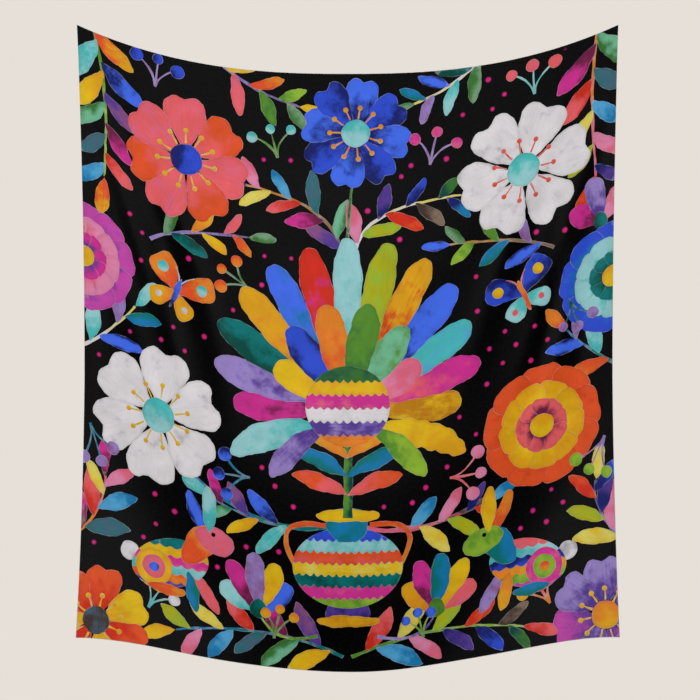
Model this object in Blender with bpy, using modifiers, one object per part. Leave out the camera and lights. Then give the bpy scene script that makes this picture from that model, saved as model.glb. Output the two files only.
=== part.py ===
"""A printed cloth wall hanging, held by its two top corners.

It is one thin sheet. Its top edge sags between the corners, its sides draw in a little, its
bottom edge bellies down, and soft folds run from each top corner down and in towards the middle.

Metres, +Z up, +X to the viewer's right. The cloth hangs against the plane Y = 0, and its printed
face looks along -Y. The origin is the middle of the top edge, on that plane.
"""

import math
from collections import namedtuple

import bmesh
import bpy

# The outline, as it hangs
CORNER_SPAN = 1.308
SIDE_LENGTH = 1.468
TOP_SAG = 0.1185
TOP_SAG_POWER = 2.5
BOTTOM_BELLY = 0.095
BELLY_POWER_LEFT = 1.65
BELLY_POWER_RIGHT = 1.95
DRAW_IN_LEFT = 0.0195
DRAW_IN_RIGHT = 0.015
NARROWEST = 0.58
DRAW_POWER_ABOVE = 2.0
DRAW_POWER_BELOW = 1.25
DRAWN_IN_AT_HEM = 0.5

# How far the sheet stands off the plane behind it
SHEET_THICKNESS = 0.0015
BILLOW = 0.082
BILLOW_PEAK = 0.75
BILLOW_WIDTH_POWER = 1.85
FALL_START = 0.64
FALL_START_AT_SIDE = 0.50
FALL_END = 1.08
FALL_END_AT_LEFT = 0.68
FALL_END_AT_RIGHT = 0.64
BILLOW_LEFT_AT_HEM = -0.10
FLARE = 0.067
FLARE_POWER_ACROSS = 1.5
FLARE_POWER_DOWN = 5.0
PLANE_SOFTNESS = 0.004

# The stretch at each top corner that lies flat against the plane, where the cloth is held
FLAT_ACROSS = 0.055
FLAT_DOWN = 0.062
FREE_ACROSS = 0.16
FREE_DOWN = 0.17

# A fold runs down the sheet. across is -1 at the left edge and 1 at the right, and down is 0 at
# the top edge and 1 at the bottom. Its line runs from head past middle, which bends it, to tail.
# height is how far it stands forward, so a furrow's is less than 0. Its half width grows from
# head_width to tail_width.
Fold = namedtuple("Fold", "height head middle tail head_down tail_down head_width tail_width")
FOLDS = (
    Fold(0.0060, -0.84, -0.46, -0.42, 0.06, 0.70, 0.022, 0.042),
    Fold(-0.0035, -0.93, -0.64, -0.46, 0.04, 0.66, 0.020, 0.034),
    Fold(0.0035, -0.96, -0.84, -0.50, 0.06, 0.64, 0.016, 0.028),
    Fold(0.0045, -0.96, -0.88, -0.52, 0.14, 0.82, 0.028, 0.044),
    Fold(0.0025, -0.72, -0.70, -0.46, 0.26, 0.74, 0.016, 0.024),
    Fold(0.0060, 0.84, 0.52, 0.38, 0.06, 0.64, 0.022, 0.040),
    Fold(-0.0030, 0.90, 0.66, 0.46, 0.06, 0.62, 0.018, 0.032),
    Fold(0.0050, 0.97, 0.78, 0.48, 0.08, 0.72, 0.020, 0.034),
    Fold(-0.0040, 0.98, 0.88, 0.82, 0.14, 0.78, 0.018, 0.028),
    Fold(-0.0040, 0.80, 0.76, 0.58, 0.28, 0.72, 0.018, 0.028),
    Fold(0.0045, 0.86, 0.84, 0.58, 0.30, 0.78, 0.018, 0.028),
    Fold(0.0050, -1.02, -1.00, -0.98, 0.06, 0.76, 0.036, 0.046),
    Fold(0.0070, 1.02, 1.00, 0.98, 0.04, 0.66, 0.036, 0.046),
)
FOLD_PEAK_POWER = 0.7
FOLD_FADE_POWER = 1.5

# A swag is a shallow fold shaped like a U. It is lowest at centre, where it is centre_down of the
# way down the sheet, and rises to side_down at half_span to either side, where it fades out.
Swag = namedtuple("Swag", "height centre centre_down side_down half_span width")
SWAGS = (
    Swag(-0.0060, 0.00, 0.24, 0.05, 0.62, 0.080),
    Swag(0.0060, 0.04, 0.38, 0.12, 0.66, 0.080),
    Swag(0.0020, -0.02, 0.80, 0.56, 0.68, 0.070),
    Swag(0.0040, 0.02, 0.92, 0.62, 0.76, 0.060),
)

# The hem's slow waves along the bottom edge
HEM_WAVE = 0.004
HEM_HALF_WAVES = 7.0
HEM_WAVE_PHASE = 0.6
HEM_WAVE_REACH = 0.22

# The sheet's facets
COLUMNS = 76
ROWS = 32

# The printed ground's linear colour and finish
PRINTED_BLACK = (0.004, 0.004, 0.0045, 1.0)
POLYESTER_ROUGHNESS = 0.55


def ramp(value, low, high):
    """0 up to low, 1 from high, and smooth between."""
    share = min(1.0, max(0.0, (value - low) / (high - low)))
    return share * share * (3.0 - 2.0 * share)


def draw_in(down):
    """The share of its deepest draw-in that a side edge has, down the sheet."""
    if down < NARROWEST:
        return 1.0 - (1.0 - down / NARROWEST) ** DRAW_POWER_ABOVE
    below = ((down - NARROWEST) / (1.0 - NARROWEST)) ** DRAW_POWER_BELOW
    return 1.0 - (1.0 - DRAWN_IN_AT_HEM) * below


def place_across(across, down):
    """X of a point of the sheet."""
    deepest = DRAW_IN_LEFT if across < 0 else DRAW_IN_RIGHT
    return across * (CORNER_SPAN / 2 - deepest * draw_in(down))


def place_up(across, down):
    """Z of a point of the sheet, between the sagging top edge and the bellied bottom edge."""
    power = BELLY_POWER_LEFT if across < 0 else BELLY_POWER_RIGHT
    top = TOP_SAG * abs(across) ** TOP_SAG_POWER
    bottom = TOP_SAG - SIDE_LENGTH - BOTTOM_BELLY * max(0.0, 1.0 - across**2) ** power
    return top + (bottom - top) * down


def billow(across, down):
    """How far the sheet swells forward, before its folds. It falls back towards the plane from
    FALL_START to FALL_END, which are both higher up at the sides, and its lower corners flare."""
    rising = math.sin(math.pi / 2 * min(1.0, down / BILLOW_PEAK))
    side_end = FALL_END_AT_LEFT if across < 0 else FALL_END_AT_RIGHT
    start = FALL_START + (FALL_START_AT_SIDE - FALL_START) * across**2
    end = FALL_END + (side_end - FALL_END) * across**2
    fallen = (1.0 - BILLOW_LEFT_AT_HEM) * ramp(down, start, end)
    centred = max(0.0, 1.0 - across**2) ** BILLOW_WIDTH_POWER
    flare = FLARE * abs(across) ** FLARE_POWER_ACROSS * down**FLARE_POWER_DOWN
    return BILLOW * rising * (1.0 - fallen) * centred + flare


def fold_height(fold, across, down):
    """How far one fold brings a point of the sheet forward."""
    along = (down - fold.head_down) / (fold.tail_down - fold.head_down)
    if not 0.0 < along < 1.0:
        return 0.0
    back = 1.0 - along
    line = back * back * fold.head + 2.0 * along * back * fold.middle + along * along * fold.tail
    width = fold.head_width + (fold.tail_width - fold.head_width) * along
    aside = (across - line) * CORNER_SPAN / 2 / width
    swell = math.sin(math.pi * along**FOLD_PEAK_POWER) ** FOLD_FADE_POWER
    return fold.height * swell * math.exp(-aside * aside)


def swag_height(swag, across, down):
    """How far one swag brings a point of the sheet forward."""
    aside = (across - swag.centre) / swag.half_span
    if abs(aside) >= 1.0:
        return 0.0
    line = swag.centre_down - (swag.centre_down - swag.side_down) * aside**2
    off = (down - line) * SIDE_LENGTH / swag.width
    return swag.height * math.cos(math.pi / 2 * aside) ** 2 * math.exp(-off * off)


def hem_wave(across, down):
    """The bottom edge's slow waves."""
    near_hem = ramp(down, 1.0 - HEM_WAVE_REACH, 1.0)
    return HEM_WAVE * near_hem * math.sin(HEM_HALF_WAVES * math.pi / 2 * across + HEM_WAVE_PHASE)


def free_of_plane(across, down):
    """0 where a top corner lies flat against the plane, 1 where the sheet hangs free."""
    beside = ramp((1.0 - abs(across)) * CORNER_SPAN / 2, FLAT_ACROSS, FREE_ACROSS)
    below = ramp(down * SIDE_LENGTH, FLAT_DOWN, FREE_DOWN)
    return 1.0 - (1.0 - beside) * (1.0 - below)


def stand_off(across, down):
    """How far the printed face is from the plane. The back face never passes the plane."""
    free = billow(across, down) + hem_wave(across, down)
    free += sum(fold_height(fold, across, down) for fold in FOLDS)
    free += sum(swag_height(swag, across, down) for swag in SWAGS)
    softness = PLANE_SOFTNESS * ramp(down * SIDE_LENGTH, 0.0, FREE_DOWN)
    clear = (free + math.hypot(free, softness)) / 2
    return SHEET_THICKNESS + clear * free_of_plane(across, down)


def cloth_material():
    """Polyester, printed black."""
    material = bpy.data.materials.new("printed_polyester")
    material.use_nodes = True
    shader = material.node_tree.nodes["Principled BSDF"]
    shader.inputs["Base Color"].default_value = PRINTED_BLACK
    shader.inputs["Roughness"].default_value = POLYESTER_ROUGHNESS
    shader.inputs["Metallic"].default_value = 0.0
    return material


def hanging_cloth(collection):
    """The sheet: a grid bent to the shape in which the cloth hangs, then given its thickness.

    Each cell is split along its longer diagonal, which is the one that runs with the folds.
    """
    surface = bmesh.new()
    bmesh.ops.create_grid(surface, x_segments=COLUMNS, y_segments=ROWS, size=1.0)
    for point in surface.verts:
        across = point.co.x
        down = (1.0 - point.co.y) / 2
        point.co = (place_across(across, down), -stand_off(across, down), place_up(across, down))
    bmesh.ops.triangulate(surface, faces=surface.faces, quad_method="LONG_EDGE")
    mesh = bpy.data.meshes.new("hanging_cloth")
    surface.to_mesh(mesh)
    surface.free()
    mesh.shade_smooth()
    mesh.materials.append(cloth_material())

    cloth = bpy.data.objects.new("hanging_cloth", mesh)
    collection.objects.link(cloth)
    thickness = cloth.modifiers.new("thickness", "SOLIDIFY")
    thickness.thickness = SHEET_THICKNESS
    thickness.offset = -1.0


def main():
    for old in list(bpy.data.objects):
        bpy.data.objects.remove(old, do_unlink=True)
    collection = bpy.data.collections.new("cloth_wall_hanging")
    bpy.context.scene.collection.children.link(collection)
    hanging_cloth(collection)


main()
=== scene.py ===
"""A printed cloth wall hanging: one thin sheet of polyester, held by its two top corners.

The print is worked out flat, as the maker would lay it out, and the sheet is then bent into the
shape in which it hangs. Flat places are metres: x from the middle, and y down from the top edge.
"""

import math
import random
from collections import namedtuple
from functools import partial

import bpy
import numpy as np
from bpy.props import FloatProperty, FloatVectorProperty, IntProperty, PointerProperty
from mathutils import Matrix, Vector
from mathutils.geometry import delaunay_2d_cdt
from mathutils.kdtree import KDTree


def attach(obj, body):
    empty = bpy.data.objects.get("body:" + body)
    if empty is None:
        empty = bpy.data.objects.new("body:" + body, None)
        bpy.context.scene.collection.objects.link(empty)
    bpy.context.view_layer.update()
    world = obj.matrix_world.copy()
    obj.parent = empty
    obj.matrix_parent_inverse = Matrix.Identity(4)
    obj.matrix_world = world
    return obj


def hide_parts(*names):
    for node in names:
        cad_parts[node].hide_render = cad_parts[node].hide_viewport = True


bl_info = {
    "name": "Cloth Wall Hanging",
    "version": (1, 0, 0),
    "blender": (4, 5, 0),
    "location": "View3D > Sidebar > Hanging",
    "description": "Makes a printed cloth wall hanging with its hem stitches",
    "category": "Add Mesh",
}

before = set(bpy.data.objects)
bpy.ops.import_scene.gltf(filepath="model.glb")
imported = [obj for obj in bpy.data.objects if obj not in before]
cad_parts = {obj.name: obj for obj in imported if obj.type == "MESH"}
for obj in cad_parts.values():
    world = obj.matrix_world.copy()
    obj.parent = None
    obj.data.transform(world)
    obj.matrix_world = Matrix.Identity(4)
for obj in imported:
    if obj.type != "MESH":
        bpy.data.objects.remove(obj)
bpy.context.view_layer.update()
CLOTH_NODE = "hanging_cloth"

# The cut, and the outline as it hangs
CUT_WIDTH = 1.342
CUT_LENGTH = 1.478
CORNER_SPAN = 1.308
SIDE_LENGTH = 1.468
TOP_SAG = 0.1185
TOP_SAG_POWER = 2.5
BOTTOM_BELLY = 0.095
BELLY_POWER_LEFT = 1.65
BELLY_POWER_RIGHT = 1.95
DRAW_IN_LEFT = 0.0195
DRAW_IN_RIGHT = 0.015
NARROWEST = 0.58
DRAW_POWER_ABOVE = 2.0
DRAW_POWER_BELOW = 1.25
DRAWN_IN_AT_HEM = 0.5

# How far the sheet stands off the plane behind it
PLANE_GAP = 0.0015
BILLOW = 0.082
BILLOW_PEAK = 0.75
BILLOW_WIDTH_POWER = 1.85
FALL_START = 0.64
FALL_START_AT_SIDE = 0.50
FALL_END = 1.08
FALL_END_AT_LEFT = 0.68
FALL_END_AT_RIGHT = 0.64
BILLOW_LEFT_AT_HEM = -0.10
FLARE = 0.067
FLARE_POWER_ACROSS = 1.5
FLARE_POWER_DOWN = 5.0
PLANE_SOFTNESS = 0.004
FLAT_ACROSS = 0.055
FLAT_DOWN = 0.062
FREE_ACROSS = 0.16
FREE_DOWN = 0.17

# A fold runs down the sheet. across is -1 at the left edge and 1 at the right, and down is 0 at
# the top edge and 1 at the bottom. Its line runs from head past middle, which bends it, to tail.
# height is how far it stands forward, so a furrow's is less than 0. Its half width grows from
# head_width to tail_width.
Fold = namedtuple("Fold", "height head middle tail head_down tail_down head_width tail_width")
FOLDS = (
    Fold(0.0060, -0.84, -0.46, -0.42, 0.06, 0.70, 0.022, 0.042),
    Fold(-0.0035, -0.93, -0.64, -0.46, 0.04, 0.66, 0.020, 0.034),
    Fold(0.0035, -0.96, -0.84, -0.50, 0.06, 0.64, 0.016, 0.028),
    Fold(0.0045, -0.96, -0.88, -0.52, 0.14, 0.82, 0.028, 0.044),
    Fold(0.0025, -0.72, -0.70, -0.46, 0.26, 0.74, 0.016, 0.024),
    Fold(0.0060, 0.84, 0.52, 0.38, 0.06, 0.64, 0.022, 0.040),
    Fold(-0.0030, 0.90, 0.66, 0.46, 0.06, 0.62, 0.018, 0.032),
    Fold(0.0050, 0.97, 0.78, 0.48, 0.08, 0.72, 0.020, 0.034),
    Fold(-0.0040, 0.98, 0.88, 0.82, 0.14, 0.78, 0.018, 0.028),
    Fold(-0.0040, 0.80, 0.76, 0.58, 0.28, 0.72, 0.018, 0.028),
    Fold(0.0045, 0.86, 0.84, 0.58, 0.30, 0.78, 0.018, 0.028),
    Fold(0.0050, -1.02, -1.00, -0.98, 0.06, 0.76, 0.036, 0.046),
    Fold(0.0070, 1.02, 1.00, 0.98, 0.04, 0.66, 0.036, 0.046),
)
FOLD_PEAK_POWER = 0.7
FOLD_FADE_POWER = 1.5

# A swag is a shallow fold shaped like a U. It is lowest at centre, where it is centre_down of the
# way down the sheet, and rises to side_down at half_span to either side, where it fades out.
Swag = namedtuple("Swag", "height centre centre_down side_down half_span width")
SWAGS = (
    Swag(-0.0060, 0.00, 0.24, 0.05, 0.62, 0.080),
    Swag(0.0060, 0.04, 0.38, 0.12, 0.66, 0.080),
    Swag(0.0020, -0.02, 0.80, 0.56, 0.68, 0.070),
    Swag(0.0040, 0.02, 0.92, 0.62, 0.76, 0.060),
)
HEM_WAVE = 0.004
HEM_HALF_WAVES = 7.0
HEM_WAVE_PHASE = 0.6
HEM_WAVE_REACH = 0.22

# The finer creases, which only the fine sheet can hold
CREASES = (
    Fold(-0.0006, -0.90, -0.56, -0.44, 0.05, 0.46, 0.009, 0.014),
    Fold(0.0006, -0.95, -0.80, -0.70, 0.07, 0.52, 0.008, 0.013),
    Fold(-0.0006, -0.97, -0.88, -0.78, 0.14, 0.58, 0.008, 0.012),
    Fold(0.0004, -0.84, -0.38, -0.20, 0.05, 0.34, 0.012, 0.018),
    Fold(-0.0006, 0.90, 0.60, 0.47, 0.05, 0.44, 0.009, 0.014),
    Fold(0.0006, 0.94, 0.80, 0.69, 0.07, 0.50, 0.008, 0.013),
    Fold(-0.0006, 0.97, 0.89, 0.80, 0.12, 0.56, 0.008, 0.012),
    Fold(0.0004, 0.85, 0.42, 0.24, 0.05, 0.36, 0.012, 0.018),
    Fold(-0.0006, -0.64, -0.60, -0.56, 0.56, 0.97, 0.012, 0.018),
    Fold(0.0006, 0.60, 0.56, 0.50, 0.60, 0.98, 0.012, 0.018),
)

# The print's inks, as they dry on polyester
INKS = {
    "black": "#101011",
    "white": "#F1ECEF",
    "grey": "#A39FA6",
    "aqua": "#A2DCDF",
    "turquoise": "#4FC6C4",
    "teal": "#0E7C7B",
    "dark_teal": "#064F46",
    "sky": "#5AB2E4",
    "cerulean": "#1B83BD",
    "azure": "#4A76FF",
    "cobalt": "#3455E0",
    "navy": "#1B2472",
    "midnight": "#27406E",
    "slate": "#4A6E82",
    "violet": "#5C3F9B",
    "lavender": "#A68FD6",
    "mauve": "#93588F",
    "magenta": "#E0369C",
    "wine": "#76224A",
    "hot_pink": "#E32784",
    "orchid": "#D24FB4",
    "pink": "#F090B8",
    "rose": "#EE6E8C",
    "coral": "#F8686C",
    "red": "#E0331F",
    "vermilion": "#F15A2B",
    "orange": "#F38B2A",
    "amber": "#F0AE1E",
    "ochre": "#CD8718",
    "yellow": "#F5C91D",
    "lemon": "#EEE26C",
    "chartreuse": "#B9BA1E",
    "lime": "#9CC53A",
    "green": "#5F9A31",
    "leaf_green": "#3E7B36",
    "sage": "#7FA882",
    "mint": "#7CC8A0",
    "taupe": "#8F7867",
    "umber": "#4A3A35",
}

# How a second ink is washed over a motif's first one: more towards the motif's tip, base, right
# side, left side or both sides, in clouds all over, or hardly at all, which is plain. A touch is
# one ink with a soft edge.
CLOUDY = 0.42
PLAIN = 0.18
TOUCH = -1.0
WASHES = {
    "tip": lambda along, across: along,
    "base": lambda along, across: 1.0 - along,
    "right": lambda along, across: 0.5 + 0.5 * across,
    "left": lambda along, across: 0.5 - 0.5 * across,
    "sides": lambda along, across: np.abs(across) ** 1.5,
    "clouds": lambda along, across: np.full_like(along, CLOUDY),
    "plain": lambda along, across: np.full_like(along, PLAIN),
    "touch": lambda along, across: np.full_like(along, TOUCH),
}
Wash = namedtuple("Wash", "ink second way")


def wash_of(words):
    """A wash, from its first ink, its second ink and the way that the second one is laid."""
    return Wash(*words.split())


def washes_of(words):
    """Washes in order, from their words between commas."""
    return tuple(wash_of(part) for part in words.split(","))


# Washes that the leaves and petals take in turn
MIXED = washes_of(
    "vermilion amber tip, turquoise aqua clouds, azure navy base, yellow amber base,"
    "mauve violet base, mint leaf_green right, magenta wine base, slate teal clouds,"
    "coral red base, sky cerulean tip, lemon yellow clouds, pink rose tip,"
    "chartreuse lime clouds, violet navy base, red vermilion clouds, navy cobalt tip,"
    "umber taupe tip, leaf_green dark_teal base, cerulean navy base"
)
GREENS = washes_of("green leaf_green clouds, lime green base, sage leaf_green right, teal dark_teal left")
SUNNY = washes_of("amber orange base, yellow amber tip, coral rose clouds, vermilion orange tip")
COOL = washes_of("aqua turquoise base, azure navy sides, lavender mauve clouds, cerulean teal left")
WHITES = washes_of("white grey plain")
BLUES = washes_of("azure navy base, cobalt navy right")
CORALS = washes_of("coral rose clouds, coral vermilion tip")
AMBERS = washes_of("vermilion red base, amber yellow tip")
PURPLES = washes_of("violet lavender tip, orchid violet base")
BARK = wash_of("green dark_teal left")
TEAL_STEM = wash_of("teal cerulean tip")
ROSE_STEM = wash_of("rose umber tip")
OCHRE_STEM = wash_of("taupe ochre tip")
VIOLET_STEM = wash_of("lavender violet tip")
LEAF_STEM = wash_of("green lime tip")
PALE_STEM = wash_of("white lemon tip")
FLAME_STEM = wash_of("orange rose tip")

# How finely the print's outlines are drawn, how unsteady the brush is, and how a blade's lobes and
# notch and a stem's taper are shaped
OUTLINE_STEP = 0.0050
STEM_STEP = 0.009
UNSTEADY = 0.0016
UNSTEADY_WAVES = (0.110, 0.058, 0.031, 0.018)
UNSTEADY_FALL = 0.8
FEWEST_POINTS = 7
MOST_POINTS = 40
FEWEST_ROUND = 11
LOBE_DEPTH = 0.16
NOTCH_WIDTH = 0.16
STEM_TAPER = 0.55
PRINT_SEED = 7

Motif = namedtuple("Motif", "outline spine wash")


def toward(place, heading, distance):
    """The place a distance away along a heading. 0 is up the cloth and 90 is to the right."""
    angle = math.radians(heading)
    return (place[0] + distance * math.sin(angle), place[1] - distance * math.cos(angle))


def heading_of(start, end):
    """The heading from one place to another."""
    return math.degrees(math.atan2(end[0] - start[0], start[1] - end[1]))


def bent_line(start, bend, end, count):
    """Places along a curve that leaves start towards bend and comes to end from bend."""
    share = (0.5 - 0.5 * np.cos(np.pi * np.linspace(0.0, 1.0, count)))[:, None]
    start, bend, end = np.array(start), np.array(bend), np.array(end)
    return (1 - share) ** 2 * start + 2 * share * (1 - share) * bend + share**2 * end


def sideways(line):
    """Each point's unit step to the right of a line."""
    step = np.gradient(line, axis=0)
    step /= np.maximum(np.linalg.norm(step, axis=1, keepdims=True), 1e-9)
    return np.column_stack((-step[:, 1], step[:, 0]))


def shares(line):
    """How far along a line each of its points lies, from 0 to 1."""
    run = np.concatenate(([0.0], np.cumsum(np.linalg.norm(np.diff(line, axis=0), axis=1))))
    return run / run[-1]


def turning(loop):
    """1 where a loop's points run clockwise on the cloth, and -1 where they run the other way."""
    x, y = loop[:, 0], loop[:, 1]
    return 1 if np.sum(x * np.roll(y, -1) - np.roll(x, -1) * y) > 0 else -1


def cut_to(outline, region):
    """An outline cut to a convex region, by one of its sides at a time."""
    way = turning(region)
    for start, end in zip(region, np.roll(region, -1, axis=0)):
        side = (end - start) * way
        inside = side[0] * (outline[:, 1] - start[1]) - side[1] * (outline[:, 0] - start[0])
        kept = []
        for here, there, near, far in zip(outline, np.roll(outline, -1, 0), inside, np.roll(inside, -1)):
            if near >= 0:
                kept.append(here)
            if (near >= 0) != (far >= 0):
                kept.append(here + (there - here) * near / (near - far))
        if len(kept) < 3:
            return None
        outline = np.array(kept)
    return outline


# The powers that shape a leaf's or a petal's base and tip: 1 is pointed and 0.4 is round
Ends = namedtuple("Ends", "base tip")
LEAF_ENDS = Ends(0.9, 0.6)
SPRAY_LEAF_ENDS = Ends(0.85, 0.75)
PETAL_ENDS = Ends(1.1, 0.42)
ROUND_PETAL_ENDS = Ends(1.0, 0.36)
SLIM_PETAL_ENDS = Ends(1.0, 0.5)
CALYX_ENDS = Ends(0.5, 0.7)
LIMB_ENDS = Ends(0.6, 0.5)
RIM_ENDS = Ends(0.4, 0.4)


class Print:
    """The motifs of the print, lowest first."""

    def __init__(self, seed):
        self.motifs = []
        self.chance = random.Random(seed)

    def jittered(self, value, amount):
        return value + self.chance.uniform(-amount, amount)

    def unsteady(self, outline, amount):
        """An outline as a brush follows it, a little in and out."""
        outward = sideways(np.vstack((outline, outline[:1])))[:-1]
        steps = np.linalg.norm(np.roll(outline, -1, axis=0) - outline, axis=1)
        run = np.cumsum(steps) / steps.sum() * 2 * np.pi
        push = np.zeros(len(outline))
        for wave in UNSTEADY_WAVES:
            turns = max(1, round(steps.sum() / wave))
            height = (wave / UNSTEADY_WAVES[0]) ** UNSTEADY_FALL
            push += height * np.sin(turns * run + self.chance.uniform(0, 2 * np.pi))
        return outline + outward * push[:, None] * amount

    def add(self, outline, spine, wash, unsteadiness=1.0):
        outline = self.unsteady(np.array(outline), UNSTEADY * unsteadiness)
        self.motifs.append(Motif(outline, np.array(spine), wash))

    def blade(self, base, heading, length, width, wash, bend=0.0, ends=LEAF_ENDS, notch=0.0, lobes=0):
        """A leaf or petal."""
        tip = toward(base, heading, length)
        middle = toward(toward(base, heading, length / 2), heading + 90, bend * length)
        count = min(MOST_POINTS, max(FEWEST_POINTS, round(length / OUTLINE_STEP)))
        spine = bent_line(base, middle, tip, count)
        share = shares(spine)
        fullest = ends.base / (ends.base + ends.tip)
        swell = (share / fullest) ** ends.base * ((1 - share) / (1 - fullest)) ** ends.tip
        if lobes:
            swell = swell * (1 - LOBE_DEPTH + LOBE_DEPTH * np.abs(np.sin(np.pi * lobes * share)))
        out = sideways(spine) * (swell * width / 2)[:, None]
        outline = np.vstack((spine[:1], spine[1:] + out[1:], (spine - out)[1:-1][::-1]))
        if notch:
            ahead = np.array(toward((0, 0), heading, 1))
            away = (outline - np.array(base)) @ np.array(toward((0, 0), heading + 90, 1))
            reach = (outline - np.array(base)) @ ahead / length
            back = notch * np.exp(-((away / (NOTCH_WIDTH * width)) ** 2)) * np.clip(reach * 2 - 1, 0, 1)
            outline = outline - back[:, None] * ahead
        self.add(outline, spine, wash)

    def disc(self, centre, radius, wash, unsteadiness=0.6):
        count = max(FEWEST_ROUND, round(2 * math.pi * radius / OUTLINE_STEP))
        turn = np.linspace(0.0, 2 * np.pi, count, endpoint=False)
        ring = np.column_stack((np.cos(turn), np.sin(turn))) * radius + np.array(centre)
        spine = [toward(centre, 0, radius), toward(centre, 180, radius)]
        self.add(ring, spine, wash, unsteadiness)

    def stem(self, start, bend, end, width, wash, end_width=None):
        """A stem that narrows from width to end_width, and the line that it follows."""
        end_width = width * STEM_TAPER if end_width is None else end_width
        length = math.dist(start, bend) + math.dist(bend, end)
        line = bent_line(start, bend, end, max(5, round(length / STEM_STEP)))
        half = (width + (end_width - width) * shares(line))[:, None] / 2
        out = sideways(line) * half
        self.add(np.vstack((line + out, (line - out)[::-1])), line, wash, 0.5)
        return line

    def bands(self, centre, half_width, half_height, scallops, depth, region, washes):
        """Bands down a region, each with its scallops over the one below."""
        across = np.linspace(-half_width, half_width, max(9, round(2 * half_width / OUTLINE_STEP)))
        hang = depth * np.abs(np.sin(np.pi * scallops * (across / half_width + 1) / 2))
        spine = [(centre[0] - half_width, centre[1]), (centre[0] + half_width, centre[1])]
        step = 2 * half_height / len(washes)
        for index, wash in reversed(list(enumerate(washes))):
            top = index * step - half_height
            upper = np.column_stack((centre[0] + across, np.full_like(across, centre[1] + top)))
            lower = np.column_stack((centre[0] + across, centre[1] + (top + step) + hang))
            outline = cut_to(np.vstack((upper, lower[::-1])), region)
            if outline is not None:
                self.motifs.append(Motif(outline, np.array(spine), wash))


# A blossom's parts, in shares of its radius, and how uneven its petals are
PETAL_START = 0.10
PETAL_REACH = 0.90
PETAL_NOTCH = 0.09
EYE = 0.25
STAMEN_NEAR = 0.26
STAMEN_FAR = 0.46
STAMENS = 11
STAMEN_WIDTH = 0.004
STAMEN_BEAD = 0.0065
TURN_ASTRAY = 3
REACH_ASTRAY = 0.04


def blossom(design, row):
    """A full-face blossom: broad petals, notched at their tips, round an eye with its stamens."""
    centre = (row.x, row.y)
    full = 2 * math.pi * row.radius / row.petals * row.width
    for index in range(row.petals):
        heading = row.turn + 360.0 * index / row.petals + design.jittered(0, TURN_ASTRAY)
        reach = row.radius * design.jittered(1.0, REACH_ASTRAY) * PETAL_REACH
        base = toward(centre, heading, row.radius * PETAL_START)
        wash = row.washes[index % len(row.washes)]
        design.blade(base, heading, reach, full, wash, 0, PETAL_ENDS, PETAL_NOTCH * row.radius)
    design.disc(centre, row.radius * EYE, row.eye)
    near, far = row.radius * STAMEN_NEAR, row.radius * STAMEN_FAR
    for index in range(STAMENS):
        heading = row.turn + 360.0 * index / STAMENS
        start, middle, end = (toward(centre, heading, reach) for reach in (near, (near + far) / 2, far))
        design.stem(start, middle, end, STAMEN_WIDTH, row.stamen, STAMEN_WIDTH)
        design.disc(end, STAMEN_BEAD, row.stamen, 0.3)


def rosette(design, row):
    """A double flower: rings of round petals, each ring smaller than the one below."""
    centre = (row.x, row.y)
    for level, wash in enumerate(row.rings):
        reach = row.radius * (1.0 - level / (len(row.rings) + 0.6))
        for index in range(row.petals):
            heading = (index + level / 2) * 360.0 / row.petals
            width = 2 * math.pi * reach / row.petals * 1.02
            base = toward(centre, heading, reach * 0.2)
            design.blade(base, heading, reach * 0.8, width, wash, 0, ROUND_PETAL_ENDS)
    design.disc(centre, row.radius * 0.2, wash_of("yellow amber base"))


def fan_flower(design, row):
    """A flower seen from its side: petals fanned from a calyx, the outer ones shorter and first."""
    base = (row.x, row.y)
    last = len(row.washes) - 1
    for index in sorted(range(last + 1), key=lambda place: -abs(place - last / 2)):
        lean = 2.0 * index / last - 1.0
        reach = row.length * (1.0 - 0.22 * lean * lean) * design.jittered(1.0, 0.03)
        heading = row.heading + lean * row.spread / 2
        width = row.length * row.width
        design.blade(base, heading, reach, width, row.washes[index], 0.10 * lean, SLIM_PETAL_ENDS)
    under = toward(base, row.heading, -row.length * 0.10)
    design.blade(under, row.heading, row.length * 0.34, row.length * 0.30, row.calyx, 0, CALYX_ENDS)


# A spray's leaves: how wide each is for its length, how far it leans out, in degrees, how it bends,
# how much shorter the upper ones are, and how uneven they are
SPRAY_STEM_WIDTH = 0.009
LEAF_WIDTH = 0.35
LEAF_LEAN = 44
LEAF_BEND = 0.07
LEAF_SHORTER = 0.34
LEAN_ASTRAY = 6
LENGTH_ASTRAY = 0.10


def spray(design, row):
    """A stem with leaves in pairs, a little staggered, and one at its end."""
    line = design.stem(row.start, row.bend, row.end, SPRAY_STEM_WIDTH, row.stem)
    share = shares(line)
    end_heading = heading_of(line[-3], line[-1])
    for pair in range(row.pairs):
        for side in (-1, 1):
            along = (pair + 0.62 + 0.16 * side) / (row.pairs + 0.25)
            base = [np.interp(along, share, line[:, axis]) for axis in (0, 1)]
            ahead = [np.interp(min(1.0, along + 0.06), share, line[:, axis]) for axis in (0, 1)]
            heading = heading_of(base, ahead) if along < 0.94 else end_heading
            reach = row.length * (1.0 - LEAF_SHORTER * along) * design.jittered(1.0, LENGTH_ASTRAY)
            heading += side * design.jittered(LEAF_LEAN, LEAN_ASTRAY)
            wash = row.washes[(row.first + 2 * pair + (side > 0)) % len(row.washes)]
            design.blade(base, heading, reach, reach * LEAF_WIDTH, wash, -LEAF_BEND * side, SPRAY_LEAF_ENDS)
    last = row.washes[row.first % len(row.washes)]
    design.blade(line[-1], end_heading, row.length * 0.72, row.length * 0.26, last)


# A sprig's berries and stalks
BERRIES = 3
STALK_WIDTH = 0.0055
STALK_TIP = 0.004


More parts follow.
